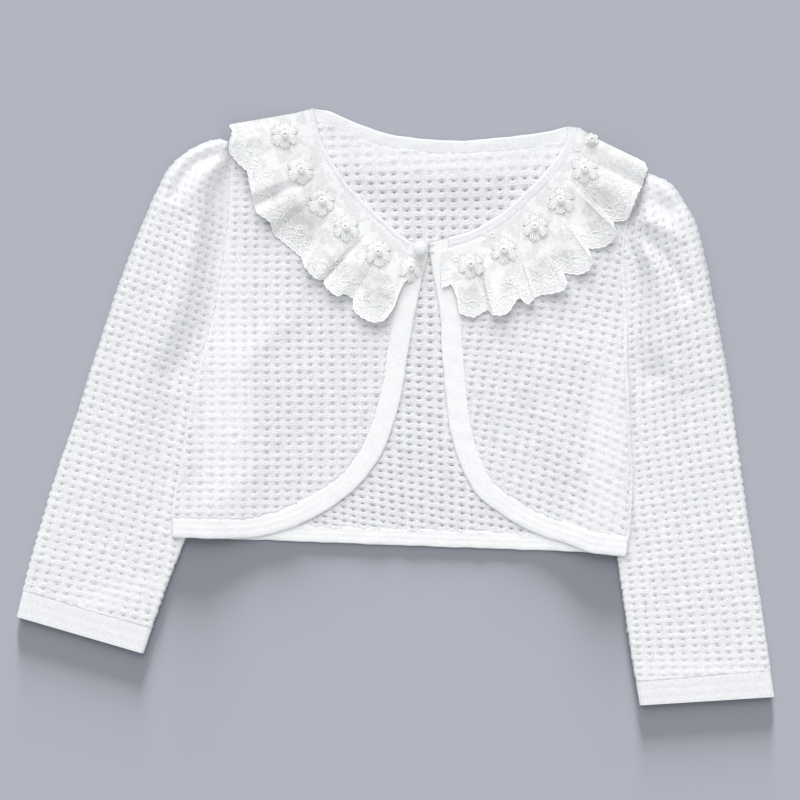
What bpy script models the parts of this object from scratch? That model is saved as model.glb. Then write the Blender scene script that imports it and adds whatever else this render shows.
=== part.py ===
"""Cropped knit cardigan with puffed sleeves and a lace ruffle collar, laid flat with its fronts up.

The garment lies on the plane Z = 0 with its neck towards +Y. Tables hold millimetres: "right" and "up"
place a point on that plane, measured from the middle of the laid-out garment, and heights are measured
from the plane. Sides are the wearer's, so the right front and the right sleeve lie towards -X.
"""

import math
from typing import Callable, NamedTuple, Sequence

import bpy
import numpy as np

MM = 0.001

# Cloth
WALL = 1.2
SEAM_GAP = 0.35
LAYER_GAP = 0.7
JERSEY_PROUD = 0.5
BAND_ROUND = 0.4

# Bands
FRONT_BAND_WIDTH = 14.0
BACK_BAND_WIDTH = 12.0
CUFF_BAND_WIDTH = 18.0
NECK_BINDING_WIDTH = 9.0

# Rows and columns of the panels' grids
SHOULDER_STEPS = 4
FRONT_STEPS = 12
NECK_STEPS = 9
BACK_NECK_STEPS = 14
ARMHOLE_STEPS = 12
SIDE_STEPS = 6

# Sleeves
SLEEVE_INSIDE = 0.8
SLEEVE_STACK = 2 * WALL + SLEEVE_INSIDE
CUFF_WALL = 1.4
CUFF_STACK = 2 * CUFF_WALL + SLEEVE_INSIDE
FOLD_ROUND = 3.0
CROWN_FALL = 0.4

# Where the body lies on the sleeves
BODY_ON_SLEEVE = SLEEVE_STACK + 0.3
SLEEVE_MARGIN = 7.0
UNDERARM_UP = 14.0
UNDERARM_MARGIN = 9.0
LIFT_RUN = 42.0

# Lace
LACE_WALL = 1.0
LACE_CLEARANCE = 0.8
LACE_START = 8.0
FLUTE_START = 0.08
FLUTE_STEPS = 2
RUFFLE_PULL = 0.5
COLLAR_LIFT = LACE_WALL + 0.3
COLLAR_MARGIN = 6.0
COLLAR_RUN = 18.0

# Flowers, pearls and button
PETALS = 6
PETAL_NOTCH = 0.62
PETAL_STEPS = 3
FLOWER_WALL = 0.8
FLOWER_CROWN = 0.6
FLOWER_CLEARANCE = 0.5
PEARL_DIAMETER = 5.0
PEARL_CLEARANCE = 0.3
BUTTON_DIAMETER = 9.5
BUTTON_HEIGHT = 6.4
SHANK_DIAMETER = 3.0
SHANK_HEIGHT = 2.2
LOOP_CORD = 1.0
LOOP_REACH = 9.0


class Spot(NamedTuple):
    """A point on the table."""

    right: float
    up: float


class ArmSection(NamedTuple):
    """A section of a sleeve below the underarm: its two folds, its height and how far across it is raised."""

    outer_right: float
    outer_up: float
    inner_right: float
    inner_up: float
    crown: float
    raised: float


class HeadSection(NamedTuple):
    """A section of a sleeve head: its outer fold, where it meets the armhole seam, and its puff."""

    outer_right: float
    outer_up: float
    seam_share: float
    crown: float
    raised: float
    roll: float


class Fold(NamedTuple):
    """A soft ridge, or a trough where its height is negative, along a bent line."""

    start_right: float
    start_up: float
    middle_right: float
    middle_up: float
    end_right: float
    end_up: float
    width: float
    height: float


class Flute(NamedTuple):
    """A ridge or a valley of the ruffle, from its place along the neck to its outer end."""

    neck_share: float
    outer_right: float
    outer_up: float
    height: float


class Flower(NamedTuple):
    """A lace daisy with a pearl on it."""

    right: float
    up: float
    radius: float


# Body outline
ARMHOLE_RIGHT = (
    Spot(-129.0, 12.5),
    Spot(-124.5, 32.0),
    Spot(-118.5, 53.5),
    Spot(-113.0, 80.0),
    Spot(-107.5, 119.5),
    Spot(-106.0, 151.0),
    Spot(-103.5, 175.0),
)
ARMHOLE_LEFT = (
    Spot(149.5, 12.5),
    Spot(149.0, 30.0),
    Spot(149.0, 63.0),
    Spot(147.0, 96.0),
    Spot(149.0, 116.5),
    Spot(155.0, 131.5),
    Spot(159.5, 145.0),
    Spot(159.5, 154.5),
)
SIDE_RIGHT = (
    Spot(-129.0, 12.5),
    Spot(-134.0, -11.0),
    Spot(-139.0, -43.0),
    Spot(-142.5, -57.0),
    Spot(-144.5, -84.5),
)
SIDE_LEFT = (
    Spot(149.5, 12.5),
    Spot(151.0, -19.5),
    Spot(152.5, -47.5),
    Spot(151.0, -75.5),
    Spot(149.0, -97.0),
)
BACK_HEM = (
    Spot(-144.5, -84.5),
    Spot(-100.0, -86.0),
    Spot(3.0, -90.0),
    Spot(102.5, -93.5),
    Spot(127.0, -94.5),
    Spot(149.0, -97.0),
)
NECK_BACK = (
    Spot(-53.0, 193.5),
    Spot(-42.5, 192.0),
    Spot(-33.5, 188.0),
    Spot(-16.5, 181.0),
    Spot(3.0, 176.0),
    Spot(36.0, 173.0),
    Spot(69.0, 175.0),
    Spot(96.0, 178.5),
    Spot(111.5, 182.0),
)
NECK_RIGHT = (
    Spot(-53.0, 193.5),
    Spot(-51.5, 186.5),
    Spot(-47.0, 171.0),
    Spot(-36.5, 152.5),
    Spot(-25.0, 138.0),
    Spot(-8.0, 122.0),
    Spot(3.0, 112.0),
    Spot(11.5, 106.5),
    Spot(21.0, 104.0),
)
NECK_LEFT = (
    Spot(111.5, 182.0),
    Spot(109.0, 169.5),
    Spot(96.0, 151.5),
    Spot(75.5, 131.5),
    Spot(62.5, 121.5),
    Spot(49.0, 114.5),
    Spot(36.0, 110.5),
    Spot(22.0, 107.0),
)
FRONT_EDGE_RIGHT = (
    Spot(21.0, 104.0),
    Spot(21.0, 97.0),
    Spot(19.0, 90.5),
    Spot(12.5, 59.0),
    Spot(7.5, 30.5),
    Spot(2.5, 1.5),
    Spot(-7.5, -27.5),
    Spot(-22.0, -49.0),
    Spot(-41.5, -65.0),
    Spot(-61.5, -76.0),
    Spot(-83.0, -83.0),
    Spot(-104.0, -85.5),
    Spot(-144.5, -84.5),
)
FRONT_EDGE_LEFT = (
    Spot(22.0, 107.0),
    Spot(22.3, 97.0),
    Spot(23.5, 90.5),
    Spot(28.5, 63.0),
    Spot(30.0, 37.0),
    Spot(33.0, 3.0),
    Spot(36.5, -20.0),
    Spot(42.5, -38.5),
    Spot(52.5, -56.5),
    Spot(69.0, -70.0),
    Spot(89.5, -81.5),
    Spot(111.0, -89.0),
    Spot(127.0, -94.5),
    Spot(149.0, -97.0),
)

# Share of each front edge at which the rounded corner is half turned
CORNER_RIGHT = 0.58
CORNER_LEFT = 0.60

# Sleeves, from the cuff up
ARM_RIGHT = (
    ArmSection(-246.0, -136.0, -163.5, -160.0, 3.4, 1.0),
    ArmSection(-235.5, -95.0, -150.0, -120.5, 4.2, 1.0),
    ArmSection(-221.5, -47.5, -131.5, -73.0, 5.0, 0.84),
    ArmSection(-205.5, -1.5, -116.0, -28.5, 6.5, 0.72),
    ArmSection(-198.5, 21.5, -108.0, -7.0, 8.0, 0.66),
)
HEAD_RIGHT = (
    HeadSection(-192.5, 39.5, 0.00, 9.0, 0.80, 4.5),
    HeadSection(-178.0, 83.0, 0.28, 11.5, 1.0, 7.0),
    HeadSection(-164.0, 118.5, 0.51, 13.0, 1.0, 8.0),
    HeadSection(-152.5, 144.5, 0.69, 14.0, 1.0, 8.0),
    HeadSection(-146.0, 155.5, 0.77, 14.0, 1.0, 8.0),
    HeadSection(-136.0, 164.5, 0.85, 13.0, 1.0, 7.5),
    HeadSection(-124.5, 171.0, 0.92, 11.0, 1.0, 6.5),
    HeadSection(-113.5, 174.0, 0.97, 7.0, 1.0, 4.0),
)
ARM_LEFT = (
    ArmSection(246.0, -188.0, 158.5, -193.5, 3.4, 1.0),
    ArmSection(238.0, -133.5, 150.5, -144.5, 4.2, 1.0),
    ArmSection(227.0, -60.5, 140.0, -71.5, 5.0, 0.84),
    ArmSection(218.0, 4.5, 130.5, -6.5, 6.5, 0.74),
    ArmSection(216.5, 16.0, 129.0, 3.0, 7.5, 0.70),
)
HEAD_LEFT = (
    HeadSection(213.5, 32.0, 0.00, 9.0, 0.80, 4.5),
    HeadSection(208.5, 56.5, 0.18, 11.0, 1.0, 6.0),
    HeadSection(202.0, 89.5, 0.43, 13.0, 1.0, 7.5),
    HeadSection(195.5, 116.5, 0.64, 14.0, 1.0, 8.0),
    HeadSection(187.0, 133.0, 0.77, 14.0, 1.0, 8.0),
    HeadSection(178.5, 144.5, 0.86, 12.5, 1.0, 7.0),
    HeadSection(168.5, 149.5, 0.93, 9.5, 1.0, 5.0),
    HeadSection(164.0, 151.5, 0.97, 6.5, 1.0, 3.0),
)

# Gathers of the sleeve heads and long folds down the sleeves
SLEEVE_FOLDS_RIGHT = (
    Fold(-112.0, 170.0, -134.0, 160.0, -148.0, 141.0, 6.0, 2.0),
    Fold(-111.0, 164.0, -131.5, 155.5, -144.0, 133.0, 5.5, -5.0),
    Fold(-109.5, 160.0, -125.0, 149.0, -136.0, 124.0, 6.0, 2.0),
    Fold(-113.5, 149.0, -118.0, 118.0, -118.5, 69.5, 6.0, -4.5),
    Fold(-131.0, 109.0, -140.0, 69.0, -152.0, 19.0, 8.0, 1.5),
    Fold(-160.0, 49.0, -175.0, -11.0, -195.0, -71.0, 8.0, 1.0),
)
SLEEVE_FOLDS_LEFT = (
    Fold(163.0, 147.5, 172.0, 142.5, 182.5, 132.0, 4.5, 2.0),
    Fold(165.5, 132.5, 172.5, 128.0, 180.0, 121.5, 6.0, -3.5),
    Fold(153.5, 117.5, 166.5, 118.5, 186.0, 106.5, 4.0, 2.5),
    Fold(161.0, 108.5, 175.0, 94.0, 190.0, 67.5, 5.0, -4.5),
    Fold(152.5, 111.0, 169.5, 87.5, 182.5, 40.0, 5.0, 2.5),
    Fold(152.5, 100.5, 157.0, 79.5, 152.0, 50.0, 5.0, -5.0),
    Fold(176.0, 39.0, 184.0, 9.0, 196.0, -61.0, 8.0, 1.2),
)

# Soft ridges that run from under the collar across the fronts
FRONT_FOLDS = (
    Fold(-66.0, 59.0, -84.0, 43.0, -102.0, 23.0, 7.0, 1.6),
    Fold(-92.0, -43.0, -108.0, -59.0, -126.0, -67.0, 9.0, 1.2),
    Fold(86.0, 41.0, 96.0, -5.0, 114.0, -47.0, 8.0, 1.6),
    Fold(126.0, 69.0, 138.0, 5.0, 142.0, -47.0, 8.0, 1.0),
)

# Collar, from the shoulder to the middle of the front
RUFFLE_RIGHT = (
    Flute(0.008, -107.2, 182.6, 3.0),
    Flute(0.030, -104.7, 177.8, 4.5),
    Flute(0.065, -106.6, 170.3, 6.5),
    Flute(0.107, -106.6, 164.8, 5.5),
    Flute(0.144, -101.7, 158.2, 4.0),
    Flute(0.185, -95.4, 152.4, 4.5),
    Flute(0.234, -93.9, 145.6, 5.5),
    Flute(0.290, -92.0, 137.5, 7.0),
    Flute(0.326, -90.7, 131.6, 0.8),
    Flute(0.353, -88.4, 125.1, 8.0),
    Flute(0.391, -80.6, 119.9, 6.0),
    Flute(0.410, -78.3, 112.4, 0.8),
    Flute(0.426, -69.9, 105.3, 0.5),
    Flute(0.452, -60.1, 96.8, 0.8),
    Flute(0.471, -58.2, 91.0, 8.0),
    Flute(0.580, -55.0, 86.6, 7.0),
    Flute(0.683, -50.7, 83.2, 6.0),
    Flute(0.703, -45.8, 83.2, 0.8),
    Flute(0.732, -44.9, 78.3, 6.0),
    Flute(0.763, -38.0, 72.1, 6.5),
    Flute(0.787, -32.8, 73.8, 4.5),
    Flute(0.806, -27.0, 70.2, 1.2),
    Flute(0.827, -26.7, 63.0, 4.0),
    Flute(0.845, -21.4, 58.1, 5.5),
    Flute(0.864, -14.6, 55.2, 6.0),
    Flute(0.880, -7.5, 56.5, 5.0),
    Flute(0.894, -1.0, 65.0, 3.0),
    Flute(0.908, 2.9, 75.4, 3.0),
    Flute(0.919, 6.2, 81.9, 2.5),
    Flute(0.931, 12.0, 85.5, 1.0),
)
RUFFLE_LEFT = (
    Flute(0.017, 159.6, 158.9, 3.0),
    Flute(0.054, 161.8, 153.4, 6.5),
    Flute(0.085, 160.2, 148.8, 5.0),
    Flute(0.116, 158.9, 143.0, 0.8),
    Flute(0.148, 156.0, 138.4, 5.5),
    Flute(0.175, 152.4, 129.3, 6.5),
    Flute(0.200, 148.8, 121.5, 3.5),
    Flute(0.219, 140.7, 120.5, 0.8),
    Flute(0.240, 140.1, 118.0, 7.5),
    Flute(0.260, 142.2, 113.7, 7.0),
    Flute(0.281, 140.1, 108.2, 5.0),
    Flute(0.300, 134.9, 104.3, 2.5),
    Flute(0.320, 127.7, 103.0, 0.8),
    Flute(0.337, 123.8, 103.7, 0.6),
    Flute(0.360, 125.1, 98.8, 7.5),
    Flute(0.384, 126.8, 93.9, 7.0),
    Flute(0.408, 124.5, 88.7, 5.5),
    Flute(0.432, 118.6, 86.1, 3.5),
    Flute(0.458, 111.5, 87.1, 0.8),
    Flute(0.482, 108.2, 86.8, 0.6),
    Flute(0.503, 110.0, 79.6, 7.0),
    Flute(0.523, 108.2, 75.7, 6.5),
    Flute(0.546, 101.1, 73.8, 5.0),
    Flute(0.569, 93.9, 73.1, 2.0),
    Flute(0.588, 89.4, 70.8, 0.6),
    Flute(0.601, 88.1, 68.9, 7.0),
    Flute(0.621, 85.2, 66.9, 6.0),
    Flute(0.646, 79.6, 71.2, 3.5),
    Flute(0.674, 73.1, 62.1, 5.5),
    Flute(0.706, 69.2, 59.8, 6.5),
    Flute(0.769, 63.7, 59.8, 7.0),
    Flute(0.784, 59.8, 63.7, 0.8),
    Flute(0.812, 51.0, 58.8, 2.0),
    Flute(0.853, 41.9, 61.1, 2.5),
    Flute(0.893, 40.3, 69.5, 2.0),
    Flute(0.926, 36.3, 79.5, 2.0),
    Flute(0.955, 29.6, 77.3, 1.5),
)
BACK_RUFFLE_EDGE = (
    Spot(-98.0, 171.5),
    Spot(-87.0, 165.5),
    Spot(-55.5, 159.0),
    Spot(-29.5, 158.0),
    Spot(3.0, 154.0),
    Spot(36.0, 150.0),
    Spot(69.0, 151.0),
    Spot(97.0, 154.0),
    Spot(126.5, 151.0),
    Spot(151.0, 152.0),
)

FLOWERS_RIGHT = (
    Flower(-71.5, 176.0, 9.5),
    Flower(-61.0, 153.5, 9.5),
    Flower(-47.5, 133.5, 9.5),
    Flower(-32.0, 116.5, 9.5),
    Flower(-11.0, 100.5, 9.5),
    Flower(10.0, 90.5, 8.8),
)
FLOWERS_LEFT = (
    Flower(126.5, 173.0, 4.5),
    Flower(122.0, 154.0, 9.5),
    Flower(106.5, 134.0, 9.5),
    Flower(90.0, 117.0, 9.5),
    Flower(70.0, 102.0, 9.5),
    Flower(48.5, 92.5, 9.5),
)
BUTTON_SPOT = Spot(16.0, 102.8)

Heights = Callable[[np.ndarray], np.ndarray]


def ease(value: np.ndarray) -> np.ndarray:
    """Smooth step from 0 to 1."""
    held = np.clip(value, 0.0, 1.0)
    return held * held * (3.0 - 2.0 * held)


def spline(rows: Sequence, where: np.ndarray, pull: float = 1.0) -> np.ndarray:
    """Values of a spline through the rows of a table, at fractional row numbers; less pull bends it less."""
    table = np.asarray(rows, dtype=float)
    last = len(table) - 1
    base = np.clip(np.floor(where).astype(int), 0, last - 1)
    part = (where - base)[:, None]
    here = table[base]
    after = table[base + 1]
    leaving = 0.5 * pull * (after - table[np.clip(base - 1, 0, last)])
    arriving = 0.5 * pull * (table[np.clip(base + 2, 0, last)] - here)
    turn = part * part * (3 - 2 * part)
    return here + turn * (after - here) + part * (1 - part) * ((1 - part) * leaving - part * arriving)


class Line:
    """A smooth line on the table, read by its share of length."""

    def __init__(self, spots: Sequence, steps: int = 12) -> None:
        """Round a line through spots, or take it as it is with a single step."""
        count = (len(spots) - 1) * steps + 1
        self.path = spline(spots, np.linspace(0, len(spots) - 1, count))
        pieces = np.linalg.norm(np.diff(self.path, axis=0), axis=1)
        self.reach = np.concatenate(([0.0], np.cumsum(pieces)))

    def at(self, shares: np.ndarray) -> np.ndarray:
        """Points at shares of the length."""
        where = np.asarray(shares, dtype=float) * self.reach[-1]
        return np.stack([np.interp(where, self.reach, self.path[:, axis]) for axis in (0, 1)], axis=-1)

    def beside(self, shares: np.ndarray, distance: float) -> np.ndarray:
        """Points moved to the left of the line's direction."""
        step = 0.01
        along = self.at(np.clip(np.asarray(shares) + step, 0, 1)) - self.at(np.clip(np.asarray(shares) - step, 0, 1))
        along /= np.linalg.norm(along, axis=-1, keepdims=True)
        left = np.stack([-along[..., 1], along[..., 0]], axis=-1)
        return self.at(shares) + distance * left

    def longer(self, before: float, after: float) -> "Line":
        """The line carried straight on past its ends."""
        first = self.path[0] - self.path[1]
        last = self.path[-1] - self.path[-2]
        start = self.path[0] + before * first / np.linalg.norm(first)
        end = self.path[-1] + after * last / np.linalg.norm(last)
        return Line(np.vstack([start, self.path, end]), steps=1)

    def down_to(self, level: float, steps: int) -> np.ndarray:
        """Points of a falling line, evenly spaced down to a level."""
        end = np.interp(-level, -self.path[:, 1], self.reach) / self.reach[-1]
        return self.at(np.linspace(0, end, steps + 1))


def crossing(first: Line, first_side: float, second: Line, second_side: float) -> tuple:
    """Shares of two lines at which they cross, each taken at a distance to its left."""
    shares = np.linspace(0, 1, 301)
    one = first.beside(shares, first_side)
    two = second.beside(shares, second_side)
    step = np.diff(one, axis=0)[:, None]
    turn = np.diff(two, axis=0)[None]
    apart = two[None, :-1] - one[:-1, None]
    area = step[..., 0] * turn[..., 1] - step[..., 1] * turn[..., 0]
    area = np.where(np.abs(area) < 1e-12, 1e-12, area)
    along_one = (apart[..., 0] * turn[..., 1] - apart[..., 1] * turn[..., 0]) / area
    along_two = (apart[..., 0] * step[..., 1] - apart[..., 1] * step[..., 0]) / area
    inside = (along_one >= 0) & (along_one <= 1) & (along_two >= 0) & (along_two <= 1)
    row, column = np.argwhere(inside)[0]
    return (row + along_one[row, column]) / 300, (column + along_two[row, column]) / 300


def length_shares(points: np.ndarray) -> np.ndarray:
    """Shares of length at the points of a bent line."""
    reach = np.concatenate(([0.0], np.cumsum(np.linalg.norm(np.diff(points, axis=0), axis=1))))
    return reach / reach[-1]


def patch(top: np.ndarray, bottom: np.ndarray, left: np.ndarray, right: np.ndarray) -> np.ndarray:
    """Grid of points inside four edges: top and bottom run the same way, and so do left and right."""
    side = 0.5 * (length_shares(top) + length_shares(bottom))[None, :, None]
    fall = 0.5 * (length_shares(left) + length_shares(right))[:, None, None]
    rows = (1 - fall) * top[None] + fall * bottom[None]
    columns = (1 - side) * left[:, None] + side * right[:, None]
    corners = (1 - fall) * ((1 - side) * top[0] + side * top[-1])
    corners = corners + fall * ((1 - side) * bottom[0] + side * bottom[-1])
    return rows + columns - corners


def grid_faces(rows: int, columns: int) -> list:
    """Quads of a grid whose rows run downwards, seen from above."""
    faces = []
    for row in range(rows - 1):
        for column in range(columns - 1):
            start = row * columns + column
            faces.append((start, start + columns, start + columns + 1, start + 1))
    return faces


def shell(outer: np.ndarray, inner: np.ndarray, faces: list) -> tuple:
    """Close a wall between an outer and an inner surface with the same faces."""
    count = len(outer)
    edges = set()
    for face in faces:
        for first, second in zip(face, face[1:] + face[:1]):
            edges.add((first, second))
    walls = list(faces)
    walls += [tuple(index + count for index in reversed(face)) for face in faces]
    for first, second in sorted(edges):
        if (second, first) not in edges:
            walls.append((second, first, first + count, second + count))
    return np.concatenate([outer, inner]), walls


def finish(name: str, colour: tuple, roughness: float) -> bpy.types.Material:
    """Principled material of one piece."""
    material = bpy.data.materials.new(name)
    material.use_nodes = True
    shader = material.node_tree.nodes["Principled BSDF"]
    shader.inputs["Base Color"].default_value = (*colour, 1.0)
    shader.inputs["Roughness"].default_value = roughness
    shader.inputs["Metallic"].default_value = 0.0
    return material


FINISHES = {
    "knit": ((0.90, 0.90, 0.91), 0.85),
    "jersey": ((0.93, 0.93, 0.93), 0.80),
    "lace": ((0.92, 0.92, 0.90), 0.75),
    "pearl": ((0.93, 0.92, 0.90), 0.20),
}


def add(name: str, kind: str, mesh: bpy.types.Mesh) -> bpy.types.Object:
    """Put a mesh in the garment's collection under its name, with its finish."""
    piece = bpy.data.objects.new(name, mesh)
    bpy.data.collections["cardigan"].objects.link(piece)
    if not mesh.materials:
        mesh.materials.append(finish(name, *FINISHES[kind]))
    return piece


def facing_out(points: np.ndarray, faces: list) -> list:
    """The faces of a closed wall, turned over where they look inwards."""
    volume = 0.0
    for face in faces:
        first = points[face[0]]
        for second, third in zip(face[1:], face[2:]):
            volume += float(np.dot(first, np.cross(points[second], points[third])))
    return faces if volume > 0 else [tuple(reversed(face)) for face in faces]


def add_solid(name: str, kind: str, points: np.ndarray, faces: list) -> bpy.types.Object:
    """Make an object from points in millimetres."""
    mesh = bpy.data.meshes.new(name)
    mesh.from_pydata((points * MM).tolist(), [], facing_out(points, faces))
    mesh.shade_smooth()
    mesh.set_sharp_from_angle(angle=math.radians(40))
    return add(name, kind, mesh)


def along_fold(fold: Fold, plan: np.ndarray) -> np.ndarray:
    """Height that one fold adds at points of the plan."""
    steps = np.linspace(0, 1, 25)
    ends = ((fold.start_right, fold.start_up), (fold.middle_right, fold.middle_up), (fold.end_right, fold.end_up))
    path = spline(ends, steps * 2)
    distance = np.linalg.norm(plan[..., None, :] - path, axis=-1)
    nearest = steps[np.argmin(distance, axis=-1)]
    taper = np.sin(np.pi * np.clip(nearest * 0.9 + 0.1, 0, 1)) ** 0.5
    return fold.height * taper * np.exp(-((distance.min(axis=-1) / fold.width) ** 2))


def folds_height(folds: Sequence[Fold], plan: np.ndarray) -> np.ndarray:
    """Height that all the folds add together."""
    return sum(along_fold(fold, plan) for fold in folds)


def sleeve_lift(arm: Sequence[ArmSection], plan: np.ndarray) -> np.ndarray:
    """Height that one sleeve lifts the body by, full over its hidden part and falling away past it."""
    outward = math.copysign(1.0, arm[0].outer_right)
    levels = [section.inner_up for section in arm]
    edges = [section.inner_right for section in arm]
    edge = np.interp(plan[..., 1], levels, edges) - outward * SLEEVE_MARGIN
    inboard = np.maximum(0.0, (edge - plan[..., 0]) * outward)
    above = np.maximum(0.0, plan[..., 1] - UNDERARM_UP - UNDERARM_MARGIN)
    return BODY_ON_SLEEVE * (1.0 - ease(np.hypot(inboard, above) / LIFT_RUN))


def collar_lift(plan: np.ndarray) -> np.ndarray:
    """Height that the hidden back ruffle lifts the body by."""
    edge = np.interp(plan[..., 0], [spot.right for spot in BACK_RUFFLE_EDGE], [spot.up for spot in BACK_RUFFLE_EDGE])
    below = np.maximum(0.0, edge - COLLAR_MARGIN - plan[..., 1])
    return COLLAR_LIFT * (1.0 - ease(below / COLLAR_RUN))


def back_base(plan: np.ndarray) -> np.ndarray:
    """Height of the underside of the back."""
    lifts = [sleeve_lift(ARM_RIGHT, plan), sleeve_lift(ARM_LEFT, plan), collar_lift(plan)]
    return np.maximum.reduce(lifts)


def front_base(plan: np.ndarray) -> np.ndarray:
    """Height of the underside of the fronts, which lie on the back."""
    return back_base(plan) + WALL + LAYER_GAP + folds_height(FRONT_FOLDS, plan)


def add_panel(name: str, plan: np.ndarray, base: Heights) -> None:
    """A panel of knit over the height that its underside follows."""
    rows, columns = plan.shape[:2]
    flat = plan.reshape(-1, 2)
    under = np.column_stack([flat, base(flat)])
    points, faces = shell(under + (0, 0, WALL), under, grid_faces(rows, columns))
    add_solid(name, "knit", points, faces)


def add_strip(name: str, outer: np.ndarray, inner: np.ndarray, base: Heights, thick: float) -> None:
    """A band of jersey lofted through sections between its outer and its inner edge."""
    inward = inner - outer
    inward /= np.linalg.norm(inward, axis=1, keepdims=True)
    corners = []
    for spot, lift in (
        (outer, 0.0),
        (outer, thick - BAND_ROUND),
        (outer + inward * BAND_ROUND, thick),
        (inner - inward * BAND_ROUND, thick),
        (inner, thick - BAND_ROUND),
        (inner, 0.0),
    ):
        corners.append(np.column_stack([spot, base(spot) + lift]))
    sections = np.stack(corners, axis=1)
    count, around = sections.shape[:2]
    faces = []
    for row in range(count - 1):
        for corner in range(around):
            first = row * around + corner
            second = row * around + (corner + 1) % around
            faces.append((first, second, second + around, first + around))
    faces.append(tuple(reversed(range(around))))
    faces.append(tuple(range((count - 1) * around, count * around)))
    add_solid(name, "jersey", sections.reshape(-1, 3), faces)


# Shares of a sleeve's width at which its two layers are sampled, from the outer fold
UPPER_SHARES = (0.012, 0.04, 0.09, 0.15, 0.22, 0.29, 0.36, 0.43, 0.50, 0.57, 0.64, 0.71, 0.78, 0.85, 0.91, 0.96, 0.988)
UNDER_SHARES = (0.988, 0.96, 0.72, 0.40, 0.16, 0.04, 0.012)


def quarter_round(distance: np.ndarray, length: float) -> np.ndarray:
    """Rise of a rounded edge, from 0 at the edge to 1 past its length."""
    part = 1.0 - np.clip(distance / length, 0.0, 1.0)
    return np.sqrt(1.0 - part * part)


class Ring(NamedTuple):
    """What a sleeve's section is made from."""

    outer: np.ndarray
    inner: np.ndarray
    crown: float
    raised: float
    roll: float
    closed: bool
    stack: float
    wall: float


def ring_points(ring: Ring, folds: Sequence[Fold]) -> tuple:
    """Outer and inner points of a section, from its inner side under the sleeve round to its inner side above."""
    shares = np.array((1.0, *UNDER_SHARES, 0.0, *UPPER_SHARES, 1.0))
    above = np.zeros(len(shares), dtype=bool)
    above[len(UNDER_SHARES) + 2:] = True
    across = ring.inner - ring.outer
    width = np.linalg.norm(across)
    plan = ring.outer + shares[:, None] * across
    from_outer = shares * width
    from_inner = (1 - shares) * width
    fall = np.clip((shares / ring.raised - 1 + CROWN_FALL) / CROWN_FALL, 0, 1)
    raised = 0.5 * (1 + np.cos(np.pi * fall))
    creases = folds_height(folds, plan) * raised * np.clip(ring.crown - ring.stack, 0, 1)
    top = np.maximum(ring.stack, ring.stack + (ring.crown - ring.stack) * raised + creases)
    middle = 0.5 * ring.stack + (0.25 * ring.roll - 0.25 * FOLD_ROUND) * (1 - ease(shares / 0.2))
    rise = quarter_round(from_outer, ring.roll)
    if ring.closed:
        rise = np.minimum(rise, quarter_round(from_inner, FOLD_ROUND))
    outer_height = np.where(above, middle + (top - middle) * rise, middle * (1 - rise))
    inner_height = np.where(above, middle + (top - ring.wall - middle) * rise,
                            middle + (ring.wall - middle) * rise)
    tuck = ring.wall * np.clip(1 - from_outer / ring.roll, 0, 1)
    if ring.closed:
        tuck = tuck - ring.wall * np.clip(1 - from_inner / FOLD_ROUND, 0, 1)
    inner_plan = plan + tuck[:, None] * across / width
    if not ring.closed:
        outer_height[0] = 0.0
        inner_height[0] = ring.wall
    return np.column_stack([plan, outer_height]), np.column_stack([inner_plan, inner_height])


def row_after(arm: Sequence[ArmSection], length: float) -> float:
    """Row number of the section that lies a length up the outer fold."""
    rows = np.linspace(0, len(arm) - 1, 81)
    steps = np.linalg.norm(np.diff(spline(arm, rows)[:, :2], axis=0), axis=1)
    return float(np.interp(length, np.concatenate(([0.0], np.cumsum(steps))), rows))


def head_rows(head: Sequence[HeadSection]) -> np.ndarray:
    """Sections of a sleeve head, from the underarm to the shoulder."""
    return spline(head, np.linspace(0, len(head) - 1, ARMHOLE_STEPS))


def sleeve_rings(arm: Sequence[ArmSection], head: Sequence[HeadSection], armhole: Line) -> list:
    """Sections of a sleeve from the top of its cuff band to the shoulder."""
    outward = math.copysign(1.0, arm[0].outer_right)
    start = row_after(arm, CUFF_BAND_WIDTH + SEAM_GAP)
    rings = [
        Ring(row[0:2], row[2:4], row[4], row[5], FOLD_ROUND, True, SLEEVE_STACK, WALL)
        for row in spline(arm, np.linspace(start, len(arm) - 1, 8))
    ]
    for row in head_rows(head):
        seam = armhole.beside(row[2], outward * -SEAM_GAP)
        rings.append(Ring(row[0:2], seam, row[3], row[4], row[5], False, SLEEVE_STACK, WALL))
    return rings


def add_tube(name: str, kind: str, rings: list, folds: Sequence[Fold]) -> None:
    """A flattened tube of cloth through its sections, open along the armhole where its sections are open."""
    sections = [ring_points(ring, folds) for ring in rings]
    columns = len(sections[0][0])
    starts = []
    outer = []
    inner = []
    for ring, (outside, inside) in zip(rings, sections):
        starts.append(len(outer))
        kept = columns - 1 if ring.closed else columns
        outer.extend(outside[:kept])
        inner.extend(inside[:kept])

    def index(row: int, column: int) -> int:
        """Number of a point, the last column of a closed section being its first."""
        return starts[row] + (column % (columns - 1) if rings[row].closed else column)

    faces = []
    for row in range(len(rings) - 1):
        for column in range(columns - 1):
            faces.append((
                index(row, column),
                index(row, column + 1),
                index(row + 1, column + 1),
                index(row + 1, column),
            ))
    points, walls = shell(np.array(outer), np.array(inner), faces)
    add_solid(name, kind, points, walls)


def add_sleeve(side: str, arm: Sequence[ArmSection], head: Sequence[HeadSection], armhole: Line,
               folds: Sequence[Fold]) -> None:
    """One sleeve and its cuff band."""
    add_tube("sleeve_" + side, "knit", sleeve_rings(arm, head, armhole), folds)
    rings = [
        Ring(row[0:2], row[2:4], CUFF_STACK, 1.0, FOLD_ROUND, True, CUFF_STACK, CUFF_WALL)
        for row in spline(arm, np.linspace(0, row_after(arm, CUFF_BAND_WIDTH), 3))
    ]
    add_tube("cuff_band_" + side, "jersey", rings, ())


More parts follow.
